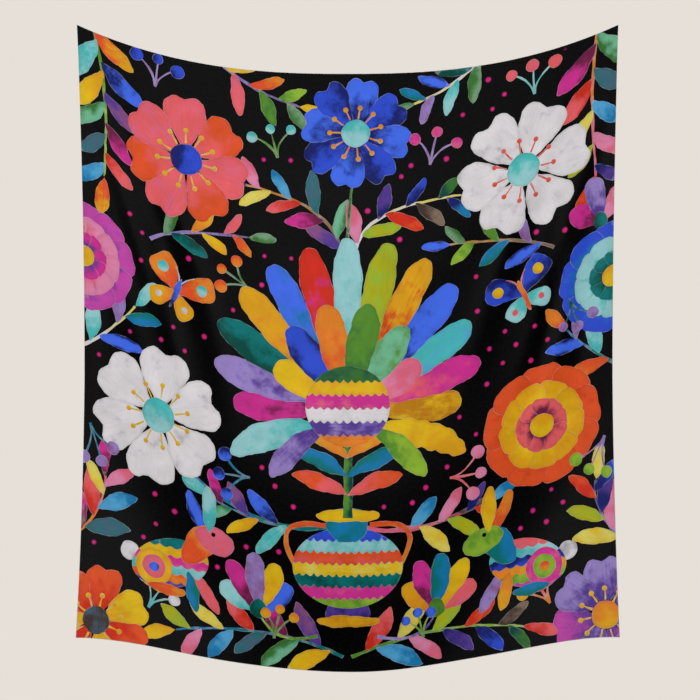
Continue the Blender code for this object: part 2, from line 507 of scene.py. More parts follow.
def berries(design, row):
    """Berries on thin stalks, fanned from one place."""
    base = (row.x, row.y)
    for index in range(BERRIES):
        lean = (index / (BERRIES - 1) - 0.5) * row.spread
        reach = row.length * design.jittered(0.92, 0.12)
        end = toward(base, row.heading + lean, reach)
        bend = toward(toward(base, row.heading, reach * 0.5), row.heading + 90, lean / 90 * reach * 0.16)
        design.stem(base, bend, end, STALK_WIDTH, row.stalk, STALK_TIP)
        design.disc(end, row.radius * design.jittered(1.0, 0.15), row.wash)


# A butterfly's wings, in shares of its size. heading is from its body's, spot is how far out the
# wing's spot is, and a wash is a place in the butterfly's list.
Wing = namedtuple("Wing", "heading length width bend ends wash spot spot_radius spot_wash")
WINGS = (
    Wing(128, 0.42, 0.30, 0.05, Ends(0.8, 0.35), 1, 0.27, 0.05, 3),
    Wing(52, 0.62, 0.40, -0.06, Ends(1.0, 0.35), 0, 0.42, 0.085, 2),
)


def butterfly(design, row):
    """Four wings with spots, a body and two feelers."""
    centre, size, washes = (row.x, row.y), row.size, row.washes
    for side in (-1, 1):
        for wing in WINGS:
            heading = row.turn + side * wing.heading
            length, width = size * wing.length, size * wing.width
            design.blade(centre, heading, length, width, washes[wing.wash], wing.bend * side, wing.ends)
        for wing in reversed(WINGS):
            spot = toward(centre, row.turn + side * wing.heading, size * wing.spot)
            design.disc(spot, size * wing.spot_radius, washes[wing.spot_wash])
        feeler = toward(centre, row.turn + side * 24, size * 0.40)
        design.stem(centre, toward(centre, row.turn, size * 0.25), feeler, 0.004, washes[3], 0.003)
    tail = toward(centre, row.turn + 180, size * 0.26)
    design.blade(tail, row.turn, size * 0.52, size * 0.09, washes[4], 0, LIMB_ENDS)


# A hare's pieces, in shares of its length, from its middle: forward, up, heading when it faces
# right, length, width, bend, and the place of the piece's wash in the hare's list
HareBlade = namedtuple("HareBlade", "forward up heading length width bend wash")
HARE_BEHIND = (
    HareBlade(0.16, -0.02, 148, 0.42, 0.11, 0.0, 1),
    HareBlade(-0.34, -0.18, 100, 0.34, 0.10, 0.06, 2),
    HareBlade(0.27, 0.34, -26, 0.40, 0.12, -0.08, 3),
)
HARE_FRONT = (
    HareBlade(-0.26, -0.23, 92, 0.34, 0.10, 0.03, 4),
    HareBlade(0.10, -0.04, 166, 0.36, 0.11, 0.0, 6),
    HareBlade(0.06, 0.04, 38, 0.46, 0.26, 0.0, 4),
    HareBlade(0.16, 0.34, 102, 0.38, 0.24, 0.05, 5),
    HareBlade(0.30, 0.36, -4, 0.42, 0.13, 0.06, 0),
)
HareDisc = namedtuple("HareDisc", "forward up radius")
HARE_TAIL = HareDisc(-0.43, 0.04, 0.085)
HARE_EYE = HareDisc(0.335, 0.345, 0.020)
# The haunch's discs, each with the place of its wash in the hare's list
HARE_HAUNCH = (
    (HareDisc(-0.21, -0.06, 0.165), 2),
    (HareDisc(-0.21, -0.06, 0.105), 5),
    (HareDisc(-0.21, -0.06, 0.045), 3),
)
HARE_MIDDLE = -0.06
HARE_LONG = 0.35
HARE_TALL = 0.225
HARE_RISE = 0.07
HARE_BAND_REACH = 0.40
HARE_SCALLOPS = 8
HARE_SCALLOP_DEPTH = 0.025


def hare(design, row):
    """A sitting hare, with its body in scalloped bands."""
    size = row.length

    def place(forward, up):
        return (row.x + row.facing * forward * size, row.y - up * size)

    def limb(piece):
        heading, bend = row.facing * piece.heading, row.facing * piece.bend
        length, width = piece.length * size, piece.width * size
        wash = row.washes[piece.wash]
        design.blade(place(piece.forward, piece.up), heading, length, width, wash, bend, LIMB_ENDS)

    def spot(disc, wash, unsteadiness=0.6):
        design.disc(place(disc.forward, disc.up), size * disc.radius, wash, unsteadiness)

    for piece in HARE_BEHIND:
        limb(piece)
    spot(HARE_TAIL, wash_of("white grey clouds"))
    turn = np.linspace(0.0, 2 * np.pi, 60, endpoint=False)
    forward = HARE_LONG * np.cos(turn) + HARE_MIDDLE
    up = HARE_TALL * np.sin(turn) + HARE_RISE * np.cos(turn)
    region = np.column_stack(place(forward, up))
    half_height = (HARE_TALL + 0.01) * size
    depth = HARE_SCALLOP_DEPTH * size
    middle = place(HARE_MIDDLE, 0)
    design.bands(middle, HARE_BAND_REACH * size, half_height, HARE_SCALLOPS, depth, region, row.bands)
    for disc, wash in HARE_HAUNCH:
        spot(disc, row.washes[wash])
    for piece in HARE_FRONT:
        limb(piece)
    spot(HARE_EYE, wash_of("black black plain"), 0.2)


def banded_cup(design, cup):
    """A round-bottomed cup or vase belly, in scalloped bands."""
    turn = np.linspace(0.0, 2 * np.pi, 72, endpoint=False)
    ring = np.column_stack((cup.half_width * np.cos(turn), cup.half_height * np.sin(turn)))
    region = ring + np.array(cup.centre)
    reach = cup.half_width * 1.02
    design.bands(cup.centre, reach, cup.half_height, cup.scallops, cup.depth, region, cup.bands)


# The layout of the print
EDGE = CUT_WIDTH / 2

# Stems: start, bend and end, width, wash, and the width at the end
Stem = namedtuple("Stem", "start bend end width wash end_width", defaults=(None,))
BRANCHES = (
    Stem((0.0, 1.100), (-0.200, 1.170), (-0.440, 1.000), 0.012, TEAL_STEM),
    Stem((0.0, 1.100), (0.200, 1.180), (0.445, 1.030), 0.012, ROSE_STEM),
)
NECK = Stem((0.0, 0.440), (0.000, 0.340), (0.020, 0.230), 0.010, BARK)
TRUNK = Stem((0.0, 0.850), (0.004, 0.980), (0.0, 1.090), 0.020, BARK, 0.024)
HANDLES = tuple(
    Stem((0.055 * side, 1.110), (0.215 * side, 1.090), (0.118 * side, 1.235), 0.013, SUNNY[3], 0.012)
    for side in (-1, 1)
)
FLOWER_STEMS = tuple(
    Stem((0.075 * side, 1.390), (0.190 * side, 1.425), (0.222 * side, 1.345), 0.009, wash)
    for side, wash in ((-1, LEAF_STEM), (1, VIOLET_STEM))
)

# Sprays of paired leaves: start, bend and end of the stem, pairs, leaf length, washes, the first
# of them, and the stem's wash. The first ones grow on the branches.
Spray = namedtuple("Spray", "start bend end pairs length washes first stem")
BRANCH_SPRAYS = (
    Spray((-0.120, 1.118), (-0.250, 1.120), (-0.345, 1.075), 3, 0.115, MIXED, 1, TEAL_STEM),
    Spray((0.120, 1.122), (0.250, 1.130), (0.350, 1.090), 3, 0.115, MIXED, 9, ROSE_STEM),
    Spray((-0.012, 0.470), (-0.020, 0.320), (-0.255, 0.290), 4, 0.118, MIXED, 4, OCHRE_STEM),
    Spray((0.016, 0.460), (0.030, 0.320), (0.285, 0.320), 4, 0.112, MIXED, 11, PALE_STEM),
)
SPRAYS = (
    Spray((-0.640, -0.040), (-0.590, 0.110), (-0.615, 0.350), 5, 0.136, MIXED, 0, LEAF_STEM),
    Spray((0.625, -0.040), (0.595, 0.130), (0.630, 0.390), 5, 0.136, MIXED, 5, FLAME_STEM),
    Spray((-0.330, -0.020), (-0.250, 0.050), (-0.120, 0.085), 3, 0.112, SUNNY + GREENS, 1, VIOLET_STEM),
    Spray((0.350, -0.030), (0.270, 0.045), (0.165, 0.080), 3, 0.110, GREENS + COOL, 2, PALE_STEM),
    Spray((-0.010, 1.440), (-0.190, 1.355), (-0.430, 1.425), 5, 0.125, MIXED, 3, TEAL_STEM),
    Spray((0.010, 1.440), (0.200, 1.355), (0.440, 1.425), 5, 0.125, MIXED, 8, LEAF_STEM),
    Spray((-0.700, 1.250), (-0.610, 1.180), (-0.615, 1.085), 3, 0.125, MIXED, 6, FLAME_STEM),
    Spray((0.700, 1.260), (0.610, 1.180), (0.625, 1.100), 3, 0.125, MIXED, 10, VIOLET_STEM),
    Spray((-0.690, 0.790), (-0.610, 0.740), (-0.540, 0.650), 2, 0.122, COOL + SUNNY, 0, PALE_STEM),
    Spray((0.690, 0.830), (0.620, 0.790), (0.555, 0.715), 2, 0.118, SUNNY + COOL, 3, TEAL_STEM),
    Spray((-0.500, 0.470), (-0.430, 0.420), (-0.250, 0.420), 3, 0.100, GREENS + SUNNY, 2, VIOLET_STEM),
    Spray((0.520, 0.500), (0.430, 0.440), (0.255, 0.440), 3, 0.100, COOL + GREENS, 1, OCHRE_STEM),
)

# Double flowers: centre, radius, petals in a ring, and the ring washes from the outside in
Double = namedtuple("Double", "x y radius petals rings")
RED_RINGS = washes_of("vermilion red base, yellow amber tip, coral wine base")
PINK_RINGS = washes_of("orchid violet base, rose pink tip, magenta violet base")
BLUE_RINGS = washes_of("cerulean cobalt tip, aqua turquoise base, teal dark_teal base")
DOUBLES = (
    Double(0.490, 0.935, 0.150, 9, RED_RINGS),
    Double(-0.671, 0.560, 0.130, 9, PINK_RINGS),
    Double(0.671, 0.610, 0.135, 9, BLUE_RINGS),
)

# Full-face blossoms: centre, radius, petals, washes, turn, petal width, eye and stamens
Bloom = namedtuple("Bloom", "x y radius petals washes turn width eye stamen")
BLOOMS = (
    Bloom(-0.480, 0.905, 0.168, 6, WHITES, 8, 0.72, COOL[0], SUNNY[1]),
    Bloom(-0.405, 0.250, 0.158, 7, CORALS, 0, 0.76, BLUES[1], SUNNY[1]),
    Bloom(0.440, 0.285, 0.165, 6, WHITES, 24, 0.70, COOL[0], CORALS[1]),
    Bloom(0.020, 0.150, 0.140, 8, BLUES, 10, 0.78, COOL[0], SUNNY[0]),
    Bloom(-0.625, 1.435, 0.130, 7, AMBERS, 12, 0.78, wash_of("umber slate clouds"), SUNNY[1]),
    Bloom(0.640, 1.425, 0.135, 7, PURPLES, 0, 0.78, SUNNY[0], SUNNY[1]),
)

# Flowers seen from their side: base, heading, length, petal width, spread, washes and calyx
SideFlower = namedtuple("SideFlower", "x y heading length width spread washes calyx")
COOL_PETALS = (COOL[0], MIXED[6], COOL[2], MIXED[3], COOL[1])
WARM_PETALS = (SUNNY[0], MIXED[6], COOL[3], MIXED[3], CORALS[0])
PINK_PETALS = (MIXED[6], PURPLES[0], MIXED[11])
SIDE_FLOWERS = (
    SideFlower(-0.222, 1.345, -6, 0.148, 0.34, 100, COOL_PETALS, GREENS[3]),
    SideFlower(0.222, 1.345, 6, 0.148, 0.34, 100, WARM_PETALS, GREENS[0]),
    SideFlower(0.640, 0.470, -12, 0.120, 0.44, 90, PINK_PETALS, GREENS[3]),
)

# Berry sprigs: base, heading, length, spread, berry wash, stalk wash and berry radius
Sprig = namedtuple("Sprig", "x y heading length spread wash stalk radius")
SPRIGS = (
    Sprig(-0.175, 0.215, -14, 0.085, 80, COOL[0], GREENS[0], 0.014),
    Sprig(0.205, 0.235, 12, 0.085, 84, wash_of("magenta rose clouds"), COOL[2], 0.013),
    Sprig(-0.245, 1.010, -92, 0.085, 76, BLUES[0], COOL[3], 0.016),
    Sprig(0.255, 1.015, 92, 0.085, 76, wash_of("pink rose clouds"), SUNNY[2], 0.015),
    Sprig(-0.250, 0.545, -60, 0.080, 70, SUNNY[3], GREENS[2], 0.014),
    Sprig(0.560, 0.640, 160, 0.080, 66, COOL[2], GREENS[3], 0.014),
    Sprig(-0.185, 1.405, 12, 0.075, 60, SUNNY[0], GREENS[0], 0.013),
    Sprig(0.190, 1.405, -12, 0.075, 60, COOL[1], GREENS[1], 0.013),
    Sprig(-0.655, 0.965, 160, 0.090, 60, wash_of("lavender mauve clouds"), COOL[3], 0.015),
    Sprig(0.650, 0.995, 208, 0.090, 60, wash_of("lime green clouds"), COOL[2], 0.015),
    Sprig(-0.480, 0.085, 8, 0.085, 80, BLUES[1], COOL[2], 0.016),
    Sprig(0.465, 0.100, -4, 0.085, 80, SUNNY[2], COOL[0], 0.015),
    Sprig(-0.500, 1.385, 30, 0.085, 70, wash_of("white grey clouds"), COOL[0], 0.016),
    Sprig(0.505, 1.380, -30, 0.085, 70, SUNNY[1], FLAME_STEM, 0.015),
)

# Butterflies, and hares, whose facing is 1 to the right and -1 to the left
Butterfly = namedtuple("Butterfly", "x y size turn washes")
WARM_WINGS = (SUNNY[3], SUNNY[0], COOL[0], wash_of("white grey clouds"), BLUES[0])
BLUE_WINGS = (BLUES[1], COOL[0], SUNNY[1], SUNNY[2], SUNNY[3])
BUTTERFLIES = (
    Butterfly(-0.435, 0.590, 0.165, 24, WARM_WINGS),
    Butterfly(0.445, 0.600, 0.165, -22, BLUE_WINGS),
)
Hare = namedtuple("Hare", "x y length facing washes bands")
LEFT_HARE = washes_of(
    "aqua turquoise base, coral rose clouds, amber yellow clouds, azure navy sides,"
    "vermilion orange tip, rose coral clouds, cerulean teal left"
)
LEFT_HARE_BANDS = washes_of(
    "cerulean teal left, yellow amber tip, magenta rose right, aqua turquoise base,"
    "vermilion orange tip, violet lavender clouds"
)
RIGHT_HARE = washes_of(
    "yellow amber tip, lavender mauve clouds, magenta rose clouds, vermilion orange tip,"
    "cerulean teal left, lime green clouds, amber orange base"
)
RIGHT_HARE_BANDS = washes_of(
    "coral rose clouds, aqua turquoise base, cobalt navy left, amber orange base,"
    "lime green base, orchid mauve clouds"
)
HARES = (
    Hare(-0.430, 1.265, 0.275, 1, LEFT_HARE, LEFT_HARE_BANDS),
    Hare(0.435, 1.270, 0.275, -1, RIGHT_HARE, RIGHT_HARE_BANDS),
)

# The urn's foot and neck, each as a short broad blade
Block = namedtuple("Block", "base heading length width wash bend ends")
URN_FOOT = (
    Block((0.0, 1.352), 0, 0.110, 0.110, wash_of("violet navy clouds"), 0.0, Ends(0.25, 0.9)),
    Block((-0.078, 1.350), 90, 0.156, 0.030, wash_of("amber ochre clouds"), 0.0, RIM_ENDS),
)
URN_NECK = (
    Block((0.0, 1.150), 0, 0.085, 0.105, wash_of("cerulean teal clouds"), 0.0, RIM_ENDS),
    Block((-0.080, 1.085), 90, 0.160, 0.032, wash_of("yellow amber clouds"), 0.0, RIM_ENDS),
)

# The palmette's cup and the urn's bowl, with their bands from the top down
Cup = namedtuple("Cup", "centre half_width half_height scallops depth bands")
CUP_BANDS = washes_of(
    "leaf_green dark_teal clouds, yellow amber clouds, magenta rose right, white grey plain,"
    "violet lavender clouds, vermilion orange right"
)
BOWL_BANDS = washes_of(
    "cobalt navy right, aqua turquoise clouds, coral vermilion left, yellow lemon clouds,"
    "teal dark_teal clouds, rose magenta right, lime green clouds"
)
PALMETTE_CUP = Cup((0.0, 0.820), 0.106, 0.098, 11, 0.009, CUP_BANDS)
URN_BOWL = Cup((0.0, 1.215), 0.138, 0.102, 15, 0.009, BOWL_BANDS)

# The palmette's leaves: heading, length and wash, the outer ones and the ones on either side first
Leaf = namedtuple("Leaf", "heading length wash")
PALMETTE_ROOT = (0.0, 0.815)
FAN = (
    Leaf(-93, 0.285, wash_of("magenta wine base")),
    Leaf(93, 0.285, wash_of("ochre yellow clouds")),
    Leaf(-77, 0.335, wash_of("lavender violet base")),
    Leaf(77, 0.335, wash_of("coral magenta tip")),
    Leaf(-61, 0.365, wash_of("teal dark_teal left")),
    Leaf(61, 0.365, wash_of("turquoise sky clouds")),
    Leaf(-45, 0.385, wash_of("amber orange base")),
    Leaf(45, 0.385, wash_of("azure navy base")),
    Leaf(-30, 0.390, wash_of("cerulean azure tip")),
    Leaf(30, 0.390, wash_of("red amber tip")),
    Leaf(-15, 0.395, wash_of("red magenta base")),
    Leaf(15, 0.395, wash_of("chartreuse lime clouds")),
    Leaf(0, 0.400, wash_of("aqua turquoise base")),
)
INNER_FAN = (
    Leaf(-64, 0.205, wash_of("yellow amber base")),
    Leaf(64, 0.205, wash_of("pink rose tip")),
    Leaf(-39, 0.235, wash_of("cobalt navy sides")),
    Leaf(39, 0.235, wash_of("mint green clouds")),
    Leaf(-13, 0.250, wash_of("orange vermilion base")),
    Leaf(13, 0.250, wash_of("green leaf_green base")),
)
FAN_ENDS = Ends(1.3, 0.45)
FAN_WIDTH = 0.074
INNER_WIDTH = 0.076
FAN_BEND = 0.0004

# The leaves on the trunk, and the long ones beside the cup
TrunkLeaf = namedtuple("TrunkLeaf", "heading y wash")
TRUNK_LEAVES = (
    TrunkLeaf(58, 0.945, SUNNY[0]),
    TrunkLeaf(66, 0.990, COOL[3]),
    TrunkLeaf(72, 1.035, CORALS[1]),
)
TRUNK_LEAF_LENGTH = 0.145
TRUNK_LEAF_WIDTH = 0.042
TRUNK_LEAF_BEND = 0.12
CupLeaf = namedtuple("CupLeaf", "side heading length width bend wash lobes")
CUP_LEAVES = (
    CupLeaf(-1, 110, 0.255, 0.070, 0.16, COOL[0], 0),
    CupLeaf(-1, 134, 0.190, 0.056, 0.14, PURPLES[0], 0),
    CupLeaf(1, 110, 0.255, 0.070, 0.16, SUNNY[1], 7),
    CupLeaf(1, 134, 0.190, 0.056, 0.14, GREENS[1], 0),
)
CUP_LEAF_X = 0.055
CUP_LEAF_Y = 0.870


def urn(design):
    """The footed urn under the palmette, and its handles."""
    for block in URN_FOOT:
        design.blade(*block)
    for handle in HANDLES:
        design.stem(*handle)
    banded_cup(design, URN_BOWL)
    for block in URN_NECK:
        design.blade(*block)


def palmette(design):
    """The large fanned flower in the middle of the print, on its banded cup and trunk."""
    design.stem(*TRUNK)
    for side in (-1, 1):
        for leaf in TRUNK_LEAVES:
            base, bend = (0.0, leaf.y), -TRUNK_LEAF_BEND * side
            length, width = TRUNK_LEAF_LENGTH, TRUNK_LEAF_WIDTH
            design.blade(base, side * leaf.heading, length, width, leaf.wash, bend, Ends(0.9, 0.7))
    for leaf in FAN:
        width = FAN_WIDTH * design.jittered(1.0, 0.05)
        reach = leaf.length * design.jittered(1.0, 0.03)
        bend = FAN_BEND * leaf.heading
        design.blade(PALMETTE_ROOT, leaf.heading, reach, width, leaf.wash, bend, FAN_ENDS)
    for leaf in INNER_FAN:
        bend = FAN_BEND * leaf.heading
        design.blade(PALMETTE_ROOT, leaf.heading, leaf.length, INNER_WIDTH, leaf.wash, bend, SLIM_PETAL_ENDS)
    for leaf in CUP_LEAVES:
        base = (CUP_LEAF_X * leaf.side, CUP_LEAF_Y)
        heading, bend = leaf.side * leaf.heading, -leaf.bend * leaf.side
        design.blade(base, heading, leaf.length, leaf.width, leaf.wash, bend, lobes=leaf.lobes)
    banded_cup(design, PALMETTE_CUP)


# The small dots between the motifs, and the smaller specks
DOT_PITCH = 0.076
DOT_MARGIN = DOT_PITCH / 3
DOT_RADIUS = 0.0082
DOT_UNEVEN = 0.12
DOT_CLEAR = 0.0080
DOT_ASTRAY = 0.008
DOTS_KEPT = 0.9
DOT_WASH = wash_of("hot_pink hot_pink touch")
SPECKS = 260
SPECK_RADIUS = 0.0030
SPECK_UNEVEN = 0.3
SPECK_WASH = wash_of("midnight midnight touch")


def inside(points, outline):
    """Which points are inside an outline."""
    start, end = outline, np.roll(outline, -1, axis=0)
    across, down = points[:, 0, None], points[:, 1, None]
    spans = (start[:, 1] > down) != (end[:, 1] > down)
    rise = np.where(end[:, 1] == start[:, 1], 1.0, end[:, 1] - start[:, 1])
    crossing = start[:, 0] + (down - start[:, 1]) * (end[:, 0] - start[:, 0]) / rise
    return np.count_nonzero(spans & (across < crossing), axis=1) % 2 == 1


def tree_of(points):
    """A search tree of points, which are flat or have all three of their measures."""
    tree = KDTree(len(points))
    for index, point in enumerate(points):
        tree.insert((*point, 0.0)[:3], index)
    tree.balance()
    return tree


def scatter_dots(design):
    """Dots on a staggered grid, and specks anywhere, wherever the ground is bare."""
    outlines = tree_of(np.vstack([motif.outline for motif in design.motifs]))
    rows = int(CUT_LENGTH / DOT_PITCH * 2) + 1
    columns = int(CUT_WIDTH / DOT_PITCH) + 2
    places = []
    for row in range(rows):
        for column in range(columns):
            across = -EDGE + (column + (row % 2) / 2) * DOT_PITCH + design.jittered(0, DOT_ASTRAY)
            if design.chance.random() < DOTS_KEPT:
                places.append((across, row * DOT_PITCH / 2 + design.jittered(0, DOT_ASTRAY)))
    places = np.array(places)
    bare = np.abs(places[:, 0]) < EDGE - DOT_MARGIN
    for motif in design.motifs:
        bare &= ~inside(places, motif.outline)
    for place in places[bare]:
        if outlines.find((*place, 0))[2] > DOT_RADIUS + DOT_CLEAR:
            design.disc(place, DOT_RADIUS * design.jittered(1.0, DOT_UNEVEN), DOT_WASH, 0.25)
    for _ in range(SPECKS):
        place = (design.jittered(0, EDGE - DOT_MARGIN), design.chance.uniform(0, CUT_LENGTH))
        spot = np.array([place])
        covered = any(inside(spot, motif.outline)[0] for motif in design.motifs)
        if not covered and outlines.find((*place, 0))[2] > SPECK_RADIUS + DOT_CLEAR:
            design.disc(place, SPECK_RADIUS * design.jittered(1.0, SPECK_UNEVEN), SPECK_WASH, 0.1)


def lay_out():
    """The whole print, from its lowest motif to its dots."""
    design = Print(PRINT_SEED)
    for stem in BRANCHES:
        design.stem(*stem)
    for row in BRANCH_SPRAYS:
        spray(design, row)
    design.stem(*NECK)
    flowers = ((spray, SPRAYS), (rosette, DOUBLES), (blossom, BLOOMS))
    small = ((fan_flower, SIDE_FLOWERS), (berries, SPRIGS), (butterfly, BUTTERFLIES), (hare, HARES))
    for draw, rows in flowers:
        for row in rows:
            draw(design, row)
    for stem in FLOWER_STEMS:
        design.stem(*stem)
    for draw, rows in small:
        for row in rows:
            draw(design, row)
    urn(design)
    palmette(design)
    scatter_dots(design)
    return design


# How far apart the places are that tell which way the cloth faces
FACING_STEP = 0.0015


def ramp(value, low, high):
    """0 up to low, 1 from high, and smooth between."""
    share = np.clip((value - low) / (high - low), 0.0, 1.0)
    return share * share * (3.0 - 2.0 * share)


def draw_in(down):
    """The share of its deepest draw-in that a side edge has, down the sheet."""
    above = np.clip(1.0 - down / NARROWEST, 0.0, 1.0) ** DRAW_POWER_ABOVE
    below = np.clip((down - NARROWEST) / (1.0 - NARROWEST), 0.0, 1.0) ** DRAW_POWER_BELOW
    return 1.0 - above - (1.0 - DRAWN_IN_AT_HEM) * below


def from_middle(across):
    """1 in the middle of the cloth's width, and 0 at its side edges."""
    return np.clip(1.0 - across**2, 0.0, 1.0)


def fold_height(fold, across, down):
    """How far one fold brings the sheet forward."""
    along = (down - fold.head_down) / (fold.tail_down - fold.head_down)
    held = np.clip(along, 0.0, 1.0)
    back = 1.0 - held
    line = back * back * fold.head + 2.0 * held * back * fold.middle + held * held * fold.tail
    width = fold.head_width + (fold.tail_width - fold.head_width) * held
    aside = (across - line) * CORNER_SPAN / 2 / width
    swell = np.clip(np.sin(np.pi * held**FOLD_PEAK_POWER), 0.0, 1.0) ** FOLD_FADE_POWER
    return fold.height * swell * np.exp(-aside * aside)


def swag_height(swag, across, down):
    """How far one swag brings the sheet forward."""
    aside = np.clip((across - swag.centre) / swag.half_span, -1.0, 1.0)
    line = swag.centre_down - (swag.centre_down - swag.side_down) * aside**2
    off = (down - line) * SIDE_LENGTH / swag.width
    return swag.height * np.cos(np.pi / 2 * aside) ** 2 * np.exp(-off * off)


def billow(across, down):
    """How far the sheet swells forward, before its folds. It falls back towards the plane from
    FALL_START to FALL_END, which are both higher up at the sides, and its lower corners flare."""
    rising = np.sin(np.pi / 2 * np.clip(down / BILLOW_PEAK, 0.0, 1.0))
    side_end = np.where(across < 0, FALL_END_AT_LEFT, FALL_END_AT_RIGHT)
    start = FALL_START + (FALL_START_AT_SIDE - FALL_START) * across**2
    end = FALL_END + (side_end - FALL_END) * across**2
    fallen = (1.0 - BILLOW_LEFT_AT_HEM) * ramp(down, start, end)
    centred = from_middle(across) ** BILLOW_WIDTH_POWER
    flare = FLARE * np.abs(across) ** FLARE_POWER_ACROSS * np.clip(down, 0.0, 1.0) ** FLARE_POWER_DOWN
    return BILLOW * rising * (1.0 - fallen) * centred + flare


def stand_off(across, down):
    """How far the printed face is from the plane that the cloth hangs against."""
    wave = np.sin(HEM_HALF_WAVES * np.pi / 2 * across + HEM_WAVE_PHASE)
    free = billow(across, down) + HEM_WAVE * ramp(down, 1.0 - HEM_WAVE_REACH, 1.0) * wave
    for fold in FOLDS + CREASES:
        free = free + fold_height(fold, across, down)
    for swag in SWAGS:
        free = free + swag_height(swag, across, down)
    softness = PLANE_SOFTNESS * ramp(down * SIDE_LENGTH, 0.0, FREE_DOWN)
    clear = (free + np.hypot(free, softness)) / 2
    beside = ramp((1.0 - np.abs(across)) * CORNER_SPAN / 2, FLAT_ACROSS, FREE_ACROSS)
    below = ramp(down * SIDE_LENGTH, FLAT_DOWN, FREE_DOWN)
    return PLANE_GAP + clear * (1.0 - (1.0 - beside) * (1.0 - below))


def hung(flat):
    """Where flat places of the cloth's printed face are once it hangs."""
    across = flat[:, 0] / EDGE
    down = flat[:, 1] / CUT_LENGTH
    deepest = np.where(across < 0, DRAW_IN_LEFT, DRAW_IN_RIGHT)
    belly = np.where(across < 0, BELLY_POWER_LEFT, BELLY_POWER_RIGHT)
    top = TOP_SAG * np.abs(across) ** TOP_SAG_POWER
    bottom = TOP_SAG - SIDE_LENGTH - BOTTOM_BELLY * from_middle(across) ** belly
    right = across * (CORNER_SPAN / 2 - deepest * draw_in(down))
    return np.column_stack((right, -stand_off(across, down), top + (bottom - top) * down))


def facing(flat):
    """Which way the printed face looks at flat places of the cloth."""
    rightward = hung(flat + (FACING_STEP, 0)) - hung(flat - (FACING_STEP, 0))
    upward = hung(flat - (0, FACING_STEP)) - hung(flat + (0, FACING_STEP))
    normal = np.cross(rightward, upward)
    return normal / np.linalg.norm(normal, axis=1, keepdims=True)


# The sheet's facets, its turned hem and its thickness
GRID_STEP = 0.0115
RING_INSIDE = 0.0042
CLEAR_OF_LINES = 0.0036
BORDER_STEP = 0.010
BORDER_PARTS = 5
HEM_DEPTH = 0.012
HEM_LINE = 0.0105
HEM_SLACK = 0.0004
SHEET = 0.0008
HEM = 0.0015
HEM_ROUND = 0.0009
GROUND = -1
MERGE_WITHIN = 0.0001
JOINED_DIGITS = 7
NO_AREA = 1e-12
FAR_FROM_OUTLINE = 0.02
SEED_STEP = 0.37
SHARP_FROM = 38.0


def rectangle(inset, step):
    """Points round the cloth, an inset in from its edges, in order."""
    left, right, top, bottom = inset - EDGE, EDGE - inset, inset, CUT_LENGTH - inset
    corners = [(left, top), (right, top), (right, bottom), (left, bottom)]
    points = []
    for start, end in zip(corners, corners[1:] + corners[:1]):
        count = round(math.dist(start, end) / step)
        share = np.arange(count)[:, None] / count
        points.append(np.array(start) + share * (np.array(end) - np.array(start)))
    return np.vstack(points)


def from_edges(flat):
    """How far in from the cloth's nearest edge each flat place is."""
    return np.minimum(EDGE - np.abs(flat[:, 0]), CUT_LENGTH / 2 - np.abs(flat[:, 1] - CUT_LENGTH / 2))


def topmost(points, motifs):
    """The highest motif that covers each point, or GROUND."""
    owner = np.full(len(points), GROUND)
    for index, motif in enumerate(motifs):
        low, high = motif.outline.min(axis=0), motif.outline.max(axis=0)
        near = np.flatnonzero(np.all((points >= low) & (points <= high), axis=1))
        owner[near[inside(points[near], motif.outline)]] = index
    return owner


def ring_inside(outline):
    """Points a little inside an outline, one for each two of its own."""
    tangent = np.roll(outline, -1, axis=0) - np.roll(outline, 1, axis=0)
    tangent /= np.maximum(np.linalg.norm(tangent, axis=1, keepdims=True), 1e-9)
    inward = np.column_stack((-tangent[:, 1], tangent[:, 0])) * turning(outline)
    return (outline + inward * RING_INSIDE)[::2]


def evened(outline):
    """An outline whose points on the cloth's edges are at evenly spaced places along them."""
    close = 1e-9
    at_side = np.abs(outline[:, 0]) > EDGE - close
    at_end = np.abs(outline[:, 1] - CUT_LENGTH / 2) > CUT_LENGTH / 2 - close
    for axis, start, size, there in ((0, -EDGE, CUT_WIDTH, at_end), (1, 0.0, CUT_LENGTH, at_side)):
        step = size / (round(size / BORDER_STEP) * BORDER_PARTS)
        outline[there, axis] = start + np.round((outline[there, axis] - start) / step) * step
    return outline


def cut_motifs(design):
    """The motifs, cut off where they run past the cloth's edges."""
    cloth = np.array([(-EDGE, 0), (EDGE, 0), (EDGE, CUT_LENGTH), (-EDGE, CUT_LENGTH)])
    kept = []
    for motif in design.motifs:
        outline = cut_to(motif.outline, cloth)
        if outline is not None:
            kept.append(motif._replace(outline=evened(outline)))
    return kept


def owned(loops, motifs):
    """The points of the motifs' loops in one array, the motif of each, and the topmost one there."""
    number = np.repeat(np.arange(len(motifs)), [len(loop) for loop in loops])
    points = np.vstack(loops)
    return points, number, topmost(points, motifs)


def kept_lines(motifs):
    """The lines that the triangles keep to, as points and the edges between them: the cloth's own
    edges, the two lines of its hem, and each motif's outline where it shows."""
    outlines = [motif.outline for motif in motifs]
    _, number, top = owned(outlines, motifs)
    starts = np.cumsum([len(outline) for outline in outlines])[:-1]
    frames = [rectangle(inset, BORDER_STEP) for inset in (0.0, HEM_LINE, HEM_DEPTH)]
    loops = [(loop, np.ones(len(loop), dtype=bool)) for loop in frames]
    loops += zip(outlines, np.split(top <= number, starts))
    points, edges, used = [], [], 0
    for loop, shown in loops:
        if not shown.any():
            continue
        here = np.arange(len(loop))
        there = np.roll(here, -1)
        pairs = np.column_stack((here, there))[shown | shown[there]]
        edges += (pairs + used).tolist()
        points.append(loop)
        used += len(loop)
    return np.vstack(points), edges


